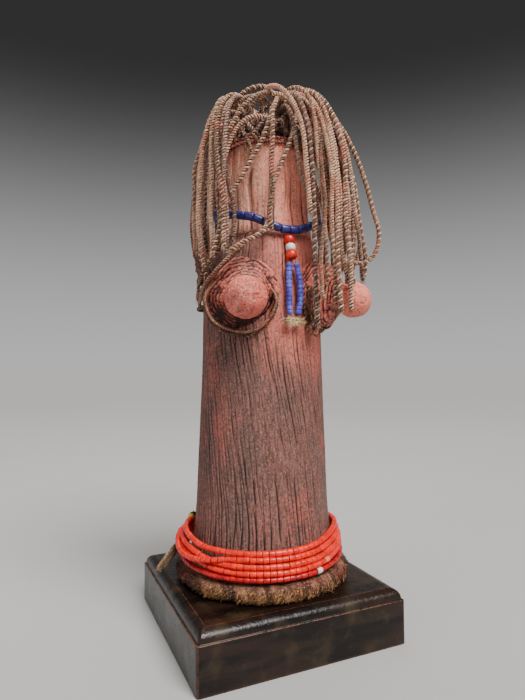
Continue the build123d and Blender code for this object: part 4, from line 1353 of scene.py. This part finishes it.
def add_bead(shape, middle, along, length, radius, bore, round_off, sides=18):
    """One tube bead, its ends rounded over, with its bore through it."""
    along = unit(np.asarray(along, float))
    helper = np.array((0, 0, 1.0)) if abs(along[2]) < 0.9 else np.array((1.0, 0, 0))
    side = unit(np.cross(along, helper))
    up = np.cross(along, side)
    half = length / 2
    rounded = [
        (round_off * (1 - math.cos(turn)), radius - round_off * (1 - math.sin(turn)))
        for turn in (0.5, 1.05, 1.57)
    ]
    profile = [(-half, bore), (-half, radius - round_off)]
    profile += [(-half + inset, reach) for inset, reach in rounded]
    profile += [(half - inset, reach) for inset, reach in rounded[::-1]]
    profile += [(half, radius - round_off), (half, bore)]
    angle = circle(sides)
    around = side[None] * np.cos(angle)[:, None] + up[None] * np.sin(angle)[:, None]
    rings = [np.asarray(middle) + along * place * MM + around * reach * MM for place, reach in profile]
    # Painted shade: the groove value is 0 at the bead's ends and in its bore, 1 round its barrel.
    grooves = np.array([0, 0.15, 0.6, 1, 1, 1, 1, 0.6, 0.15, 0])[:, None]
    shape.add(np.array(rings), grooves, loop=True)


def string_beads(shape, line, count, radius, bore, round_off, uneven, skip=(), gap=0.06):
    """Beads end to end along a line, each a little different; returns where the skipped ones go."""
    fine, along = even_points(line, 0.0003)
    pitch = along[-1] / count
    left_out = []
    for k in range(count):
        at = (k + 0.5) * pitch
        middle = points_at(at, along, fine)
        ahead, behind = points_at(at + 0.001, along, fine), points_at(at - 0.001, along, fine)
        heading = unit(ahead - behind) + random_vector() * uneven * 0.6
        length = pitch / MM - gap - abs(draw.gauss(0, 0.05))
        fat = radius * (1 - abs(draw.gauss(0, uneven * 0.5)))
        if k in skip:
            left_out.append((middle, heading, length))
            continue
        add_bead(shape, middle, heading, length, fat, bore, round_off * draw.uniform(0.8, 1.2))
    return left_out


# The heights of each waist strand, after its reach, are given at these azimuths.
WAIST_AZIMUTHS = (
    -114, -99, -84, -69, -54, -39, -24, -9, 6, 21, 36, 51, 81, 111, 141, 171, 201, 231, 246,
)
WAIST_STRANDS = {
    "waist_strand_1": (46.4, (
        42.4, 42.2, 41.8, 41.1, 40.6, 40.4, 40.3, 40.4, 40.6, 40.9,
        41.4, 42.2, 42.8, 42.6, 42.3, 42.2, 42.3, 42.5, 42.4,
    )),
    "waist_strand_2": (46.2, (
        47.2, 47.6, 47.0, 45.6, 44.0, 43.4, 43.3, 43.4, 43.7, 44.4,
        45.8, 47.0, 46.9, 46.1, 45.8, 45.7, 45.8, 46.2, 47.2,
    )),
    "waist_strand_3": (45.8, (
        50.5, 50.9, 50.3, 48.8, 47.2, 46.5, 46.5, 46.6, 46.9, 47.6,
        49.2, 50.5, 50.4, 49.5, 49.1, 49.0, 49.1, 49.5, 50.5,
    )),
    "waist_strand_4": (45.2, (
        49.8, 47.6, 46.5, 47.0, 48.8, 49.6, 49.6, 49.7, 50.0, 50.8,
        52.6, 54.0, 53.8, 52.8, 52.4, 52.3, 52.4, 52.6, 49.8,
    )),
    "waist_strand_5": (43.9, (
        55.8, 55.4, 54.4, 53.0, 52.6, 52.5, 52.5, 52.7, 53.1, 54.2,
        56.2, 57.6, 57.0, 56.0, 55.6, 55.5, 55.6, 55.8, 55.8,
    )),
}
WAIST_LOWEST = "waist_strand_1"
WAIST_CROSSER = "waist_strand_4"
WAIST_CROSSING_OUT = 3.1
WAIST_SHIFT = np.array((-0.8, 0.35, 0.0)) * MM
BEADS_ROUND_WAIST = 86
# The place along its strand where an odd bead takes the place of a red one.
ODD_BEADS = {"waist_strand_1": (31,), "waist_strand_2": (33,)}
TIE_BEADS = (
    ("yellow", upright_point(-127.0, 44.4, 57.0), (0.1, 0.12, 1), yellow_glass),
    ("blue", upright_point(-132.5, 44.4, 57.0), (-0.1, 0.15, 1), dark_blue_glass),
)
TIE_THREAD = ((0, 0, 0.0028), (0, 0, 0.0024))


def strand_line(name):
    """A closed line round the waist, at the strand's heights, nearer the body where it is higher."""
    reach, heights = WAIST_STRANDS[name]
    before = [azimuth - 360 for azimuth in WAIST_AZIMUTHS[-3:-1]]
    keys = (*before, *WAIST_AZIMUTHS, WAIST_AZIMUTHS[1] + 360)
    azimuths = np.linspace(WAIST_AZIMUTHS[0], WAIST_AZIMUTHS[-1], 361)
    at = smooth_line(keys, (*heights[-3:-1], *heights, heights[1]), azimuths)
    reaches = reach - 0.16 * np.maximum(0, at - min(heights))
    if name == WAIST_CROSSER:
        wrapped = (azimuths + 180) % 360 - 180
        crossing = rise(wrapped, -131, -117) * (1 - rise(wrapped, -57, -43))
        reaches = reaches + WAIST_CROSSING_OUT * crossing
    return np.array([WAIST_SHIFT + upright_point(*place) for place in zip(azimuths, reaches, at)])


def make_waist():
    """The five bead strands round the waist, their odd beads, their tie beads and their threads."""
    thread = Shape()
    for name in WAIST_STRANDS:
        line = strand_line(name)
        lowest = name == WAIST_LOWEST
        radius, material = (1.5, crimson_glass) if lowest else (1.6, orange_glass)
        strand = Shape()
        left_out = string_beads(
            strand, line, BEADS_ROUND_WAIST, radius, 0.7, 0.26, 0.12, ODD_BEADS.get(name, ()), gap=0.03
        )
        strand.make(f"{name}_beads", material, "waist_body", "red_glass", name)
        add_tube(thread, even_points(line[:-1], 0.002)[0], THREAD_RADIUS, 6)
        for middle, heading, length in left_out:
            bead = Shape()
            add_bead(bead, middle, heading, length, 1.6, 0.7, 0.45)
            if lowest:
                bead.make("white_waist_bead", white_glass, "waist_body", "white_glass", "white_bead")
            else:
                bead.make("coral_waist_bead", coral_glass, "waist_body", "red_glass")
    for name, middle, lean, material in TIE_BEADS:
        shape = Shape()
        add_bead(shape, middle, lean, 3.1, 1.58, 0.7, 0.45)
        shape.make(f"{name}_tie_bead", material, "waist_body", f"{name}_glass", f"{name}_bead")
        ends = middle - TIE_THREAD[0], middle + TIE_THREAD[1]
        add_tube(thread, np.linspace(*ends, 8), THREAD_RADIUS, 6)
    thread.make("waist_threads", thread_material, "waist_body", "thread", "waist_thread")


make_waist()


TAIL_AZIMUTH = -106
TAIL_KEYS = ((48.9, 45.0), (50.6, 43.2), (53.6, 39.5), (56.6, 35.7), (60.0, 31.2))
TAIL_LEAN = math.radians(58)
# Each ribbon of the tail: how far it lies sideways, its half width, and how it turns away.
TAIL_RIBBONS = ((-1.6, 1.65, 0.0), (1.5, 1.6, 0.9), (0.0, 1.2, -0.6))


def make_tail():
    """The flat fibre end of the waist strands: a split strip with painted shade in lines along it and a
    ragged tip.
    """
    shape = Shape()
    out, flank = directions(TAIL_AZIMUTH)
    for ribbon, (shift, wide, turn) in enumerate(TAIL_RIBBONS):
        route = [
            upright_point(TAIL_AZIMUTH + turn * k / 4, reach, height + 0.25 * (ribbon == 2))
            for k, (reach, height) in enumerate(TAIL_KEYS)
        ]
        line, along = even_points(spline_points(route), 0.0005)
        tangent = unit(np.gradient(line, axis=0))
        upright = unit(np.cross(tangent, flank))
        sideways = flank * math.cos(TAIL_LEAN) + upright * math.sin(TAIL_LEAN)
        up = unit(np.cross(sideways, tangent))
        angle = circle(16)
        ragged = 1 - 0.55 * rise(along, along[-1] - 0.003, along[-1])
        rough = 1 + 0.16 * np.array([
            [noise.noise(Vector((a * 700, math.cos(t) * 2, ribbon * 9 + math.sin(t)))) for t in angle]
            for a in along
        ])
        frayed = (ragged[:, None] * rough)[..., None]
        flat = sideways[:, None] * (shift + wide * np.cos(angle)[None, :, None] * frayed)
        thick = up[:, None] * (0.42 * np.sin(angle)[None, :] * rough)[..., None]
        # Painted shade in lines along the strip: the groove value falls at six places round its section.
        groove = np.clip(0.4 + 0.6 * np.abs(np.cos(angle * 3)), 0, 1)
        shape.add(line[:, None] + (flat + thick) * MM, groove)
    for _ in range(46):
        reach = 51 + 8.2 * draw.uniform(0, 1)
        height = float(np.interp(reach, *zip(*TAIL_KEYS)))
        start = upright_point(TAIL_AZIMUTH + draw.uniform(-2.4, 2.4), reach, height)
        direction = out + np.array((draw.uniform(-0.3, 0.3), draw.uniform(-0.3, 0.3), -0.45))
        add_fibre(shape, start, direction, draw.uniform(0.8, 1.6) * MM, 0.09 * MM, 0.4, 0.9)
    shape.make("tail_fibre", tail_material, "waist_body", "straw_fibre", "tail_strip")


make_tail()

COLLAR_BEADS = 38
COLLAR_REACH = 31.0
COLLAR_TILT = math.radians(16)
COLLAR_MIDDLE = np.array((3.0, -3.0, 221.5 + COLLAR_REACH * math.sin(COLLAR_TILT)))


def collar_line():
    """The ring the collar's beads hang on, drawn down to a shallow point at the front."""
    normal = np.array((0, -math.sin(COLLAR_TILT), 1.0))
    normal = normal / np.linalg.norm(normal)
    forward = np.cross((1, 0, 0), normal)
    points = []
    for azimuth in np.linspace(-180, 180, 241):
        turn = math.radians(azimuth)
        sway = 0.45 * noise.noise(Vector((math.cos(turn) * 2.2, math.sin(turn) * 2.2, 5)))
        lift = 4.6 * float(rise(abs(azimuth), 3, 46) * (1 - rise(abs(azimuth), 95, 150)))
        ring = np.array((1.0, 0, 0)) * math.sin(turn) + forward * math.cos(turn)
        outward = ring * (COLLAR_REACH + 0.3 * sway)
        points.append((COLLAR_MIDDLE + outward + normal * (sway + lift + 0.4)) * MM)
    return np.array(points)


def make_collar():
    """The blue beads round the neck and their thread."""
    line = collar_line()
    beads = Shape()
    string_beads(beads, line, COLLAR_BEADS, 2.4, 0.9, 0.55, 0.07)
    beads.make("collar_glass", blue_glass, "doll_body", "blue_glass", "collar_beads")
    thread = Shape()
    add_tube(thread, even_points(line[:-1], 0.002)[0], 0.5 * MM, 7)
    thread.make("collar_string", thread_material, "doll_body", "thread", "collar_thread")


make_collar()

# ---------------------------------------------------------------- pendant

PENDANT_X = 2.5
STEM_TOP = np.array((PENDANT_X, -33.2, 218.7))
STEM_END = np.array((PENDANT_X, -37.0, 204.2))
STEM_DOWN = unit(STEM_END - STEM_TOP)
STEM_LENGTH = 14.2
STRING_END = np.array((PENDANT_X, -38.3, 174.6))
STRING_BEADS = 12
# The stem's beads as (distance down it, radius).
STEM_BEADS = (
    ("stem_red_glass", "pendant_red_beads", ((2.6, 2.85), (11.8, 3.05)), orange_glass, "red_glass"),
    ("stem_white_glass", "pendant_white_bead", ((7.2, 2.7),), white_glass, "white_glass"),
)


def make_stem():
    """The pendant's three round beads and the thread that they hang on."""
    for name, replaced, places, material, slot in STEM_BEADS:
        shape = Shape()
        for distance, radius in places:
            lean = STEM_DOWN + np.array((draw.uniform(-0.04, 0.04), draw.uniform(-0.04, 0.04), 0))
            middle = (STEM_TOP + STEM_DOWN * distance) * MM
            add_bead(shape, middle, lean, 4.2, radius, 0.55, 1.5, sides=28)
        shape.make(name, material, "stem_body", slot, replaced)
    thread = Shape()
    line = np.linspace(STEM_TOP, STEM_TOP + STEM_DOWN * STEM_LENGTH, 20) * MM
    add_tube(thread, line, THREAD_RADIUS, 7)
    thread.make("stem_thread", thread_material, "stem_body", "thread", "pendant_thread")


def make_string(side, sideways, bow):
    """A string of short beads bowing to one side, its thread, and the straw knot that ends it."""
    top = STEM_END + STEM_DOWN * 0.6
    drop = STRING_END - top
    across = np.array((sideways, 0.0, 0.0))
    start, finish = top + across * 1.95, top + drop + across * 2.4
    middle = top + drop / 2 + across * (1.95 + bow)
    pull = 2 * middle - (start + finish) / 2
    share = np.linspace(0, 1, 60)[:, None]
    line = ((1 - share) ** 2 * start + 2 * share * (1 - share) * pull + share**2 * finish) * MM
    body = f"{side}_string_body"
    beads = Shape()
    strung = even_points(line, 0.0004)[0][2:-1]
    string_beads(beads, strung, STRING_BEADS, 1.68, 0.55, 0.32, 0.06, gap=0.1)
    beads.make(f"string_glass_{side}", string_blue_glass, body, "blue_glass", f"string_beads_{side}")
    thread = Shape()
    add_tube(thread, even_points(line, 0.001)[0], THREAD_RADIUS, 7)
    thread.make(f"string_cord_{side}", thread_material, body, "thread", f"string_thread_{side}")

    knot = Shape()
    centre = finish + unit(drop) * 2.5
    for turn in range(3):
        points = []
        tilt = draw.uniform(-0.6, 0.6) + turn * 0.9
        for angle in np.linspace(0, 2 * math.pi * 0.93, 30):
            flat = np.array((math.cos(angle), 0.75 * math.sin(angle), 0.35 * math.sin(angle + tilt)))
            level = np.array((0, 0, 0.75 - 0.7 * turn))
            points.append((centre + flat * (1.25 - 0.1 * turn) + level) * MM)
        add_twist(knot, np.array(points), 0.62 * MM, 2.2 * MM, sides=7, fuzz=5)
    for _ in range(84):
        aside = draw.uniform(-1, 1) + 0.35 * sideways
        lean = np.array((aside, draw.uniform(-1.1, 0.35), draw.uniform(-1.0, 0.25)))
        begin = (centre + lean * 0.6) * MM
        length, radius = draw.uniform(1.8, 4.4) * MM, draw.uniform(0.14, 0.24) * MM
        add_fibre(knot, begin, lean, length, radius, 0.8, 1.0)
    knot.make(f"straw_knot_{side}", straw_material, body, "straw_fibre", f"fibre_knot_{side}")


make_stem()
make_string("left", sideways=-1, bow=0.5)
make_string("right", sideways=1, bow=2.3)

# ---------------------------------------------------------------- floor and light


FLOOR_RADIUS, FLOOR_SIDES = 60, 96
LIGHT_AIM = Vector((0, 0, 0.17))


def make_stage():
    """A wide floor of pale, plain paper."""
    floor_look = Look("floor_paper", Roughness=0.9, Specular_IOR_Level=0.1)
    shade = floor_look.noise(3.0, detail=2.0)
    colour = floor_look.mix(shade, srgb(168, 168, 168), srgb(173, 173, 172))
    floor_look.finish(colour)
    mesh = bpy.data.meshes.new("floor")
    edge = [(FLOOR_RADIUS * math.cos(t), FLOOR_RADIUS * math.sin(t), 0) for t in circle(FLOOR_SIDES)]
    mesh.from_pydata(edge, [], [list(range(FLOOR_SIDES))])
    mesh.materials.append(floor_look.material)
    floor = new_object("floor", mesh)


def add_light(name, kind, place, power, colour, **settings):
    """A light at this (azimuth, reach, height), aimed at the doll's middle."""
    data = bpy.data.lights.new(name, kind)
    data.energy = power
    data.color = colour
    for key, value in settings.items():
        setattr(data, key, value)
    light = new_object(name, data)
    light.location = upright_point(*place)
    light.rotation_euler = (LIGHT_AIM - light.location).to_track_quat("-Z", "Y").to_euler()


make_stage()
# The key light, from the upper right, is a distant broad lamp that lights the whole floor evenly.
add_light("key", "SUN", (10, 620, 900), 5.6, (1.0, 0.965, 0.92), angle=math.radians(34))
add_light("fill", "AREA", (-80, 900, 420), 1.8, (0.96, 0.98, 1.0), size=0.9)
add_light("back", "AREA", (165, 600, 1200), 4.0, (1.0, 1.0, 1.0), size=0.8)
add_light("top", "AREA", (-24, 60, 1000), 2.4, (1.0, 1.0, 1.0), size=0.5)


def make_world():
    """A studio backdrop all round: pale at the horizon and darker overhead."""
    made = bpy.data.worlds.new("studio")
    made.use_nodes = True
    tree = made.node_tree
    place = tree.nodes.new("ShaderNodeTexCoord")
    split = tree.nodes.new("ShaderNodeSeparateXYZ")
    fade = tree.nodes.new("ShaderNodeMapRange")
    fade.interpolation_type = "SMOOTHSTEP"
    blend = tree.nodes.new("ShaderNodeMix")
    blend.data_type = "RGBA"
    for key, value in ((1, -0.02), (2, 0.52)):
        fade.inputs[key].default_value = value
    blend.inputs[6].default_value = srgb(196, 196, 196)
    blend.inputs[7].default_value = srgb(52, 52, 52)
    tree.links.new(place.outputs["Generated"], split.inputs[0])
    tree.links.new(split.outputs["Z"], fade.inputs[0])
    tree.links.new(fade.outputs[0], blend.inputs[0])
    tree.links.new(blend.outputs[2], tree.nodes["Background"].inputs["Color"])
    bpy.context.scene.world = made


make_world()
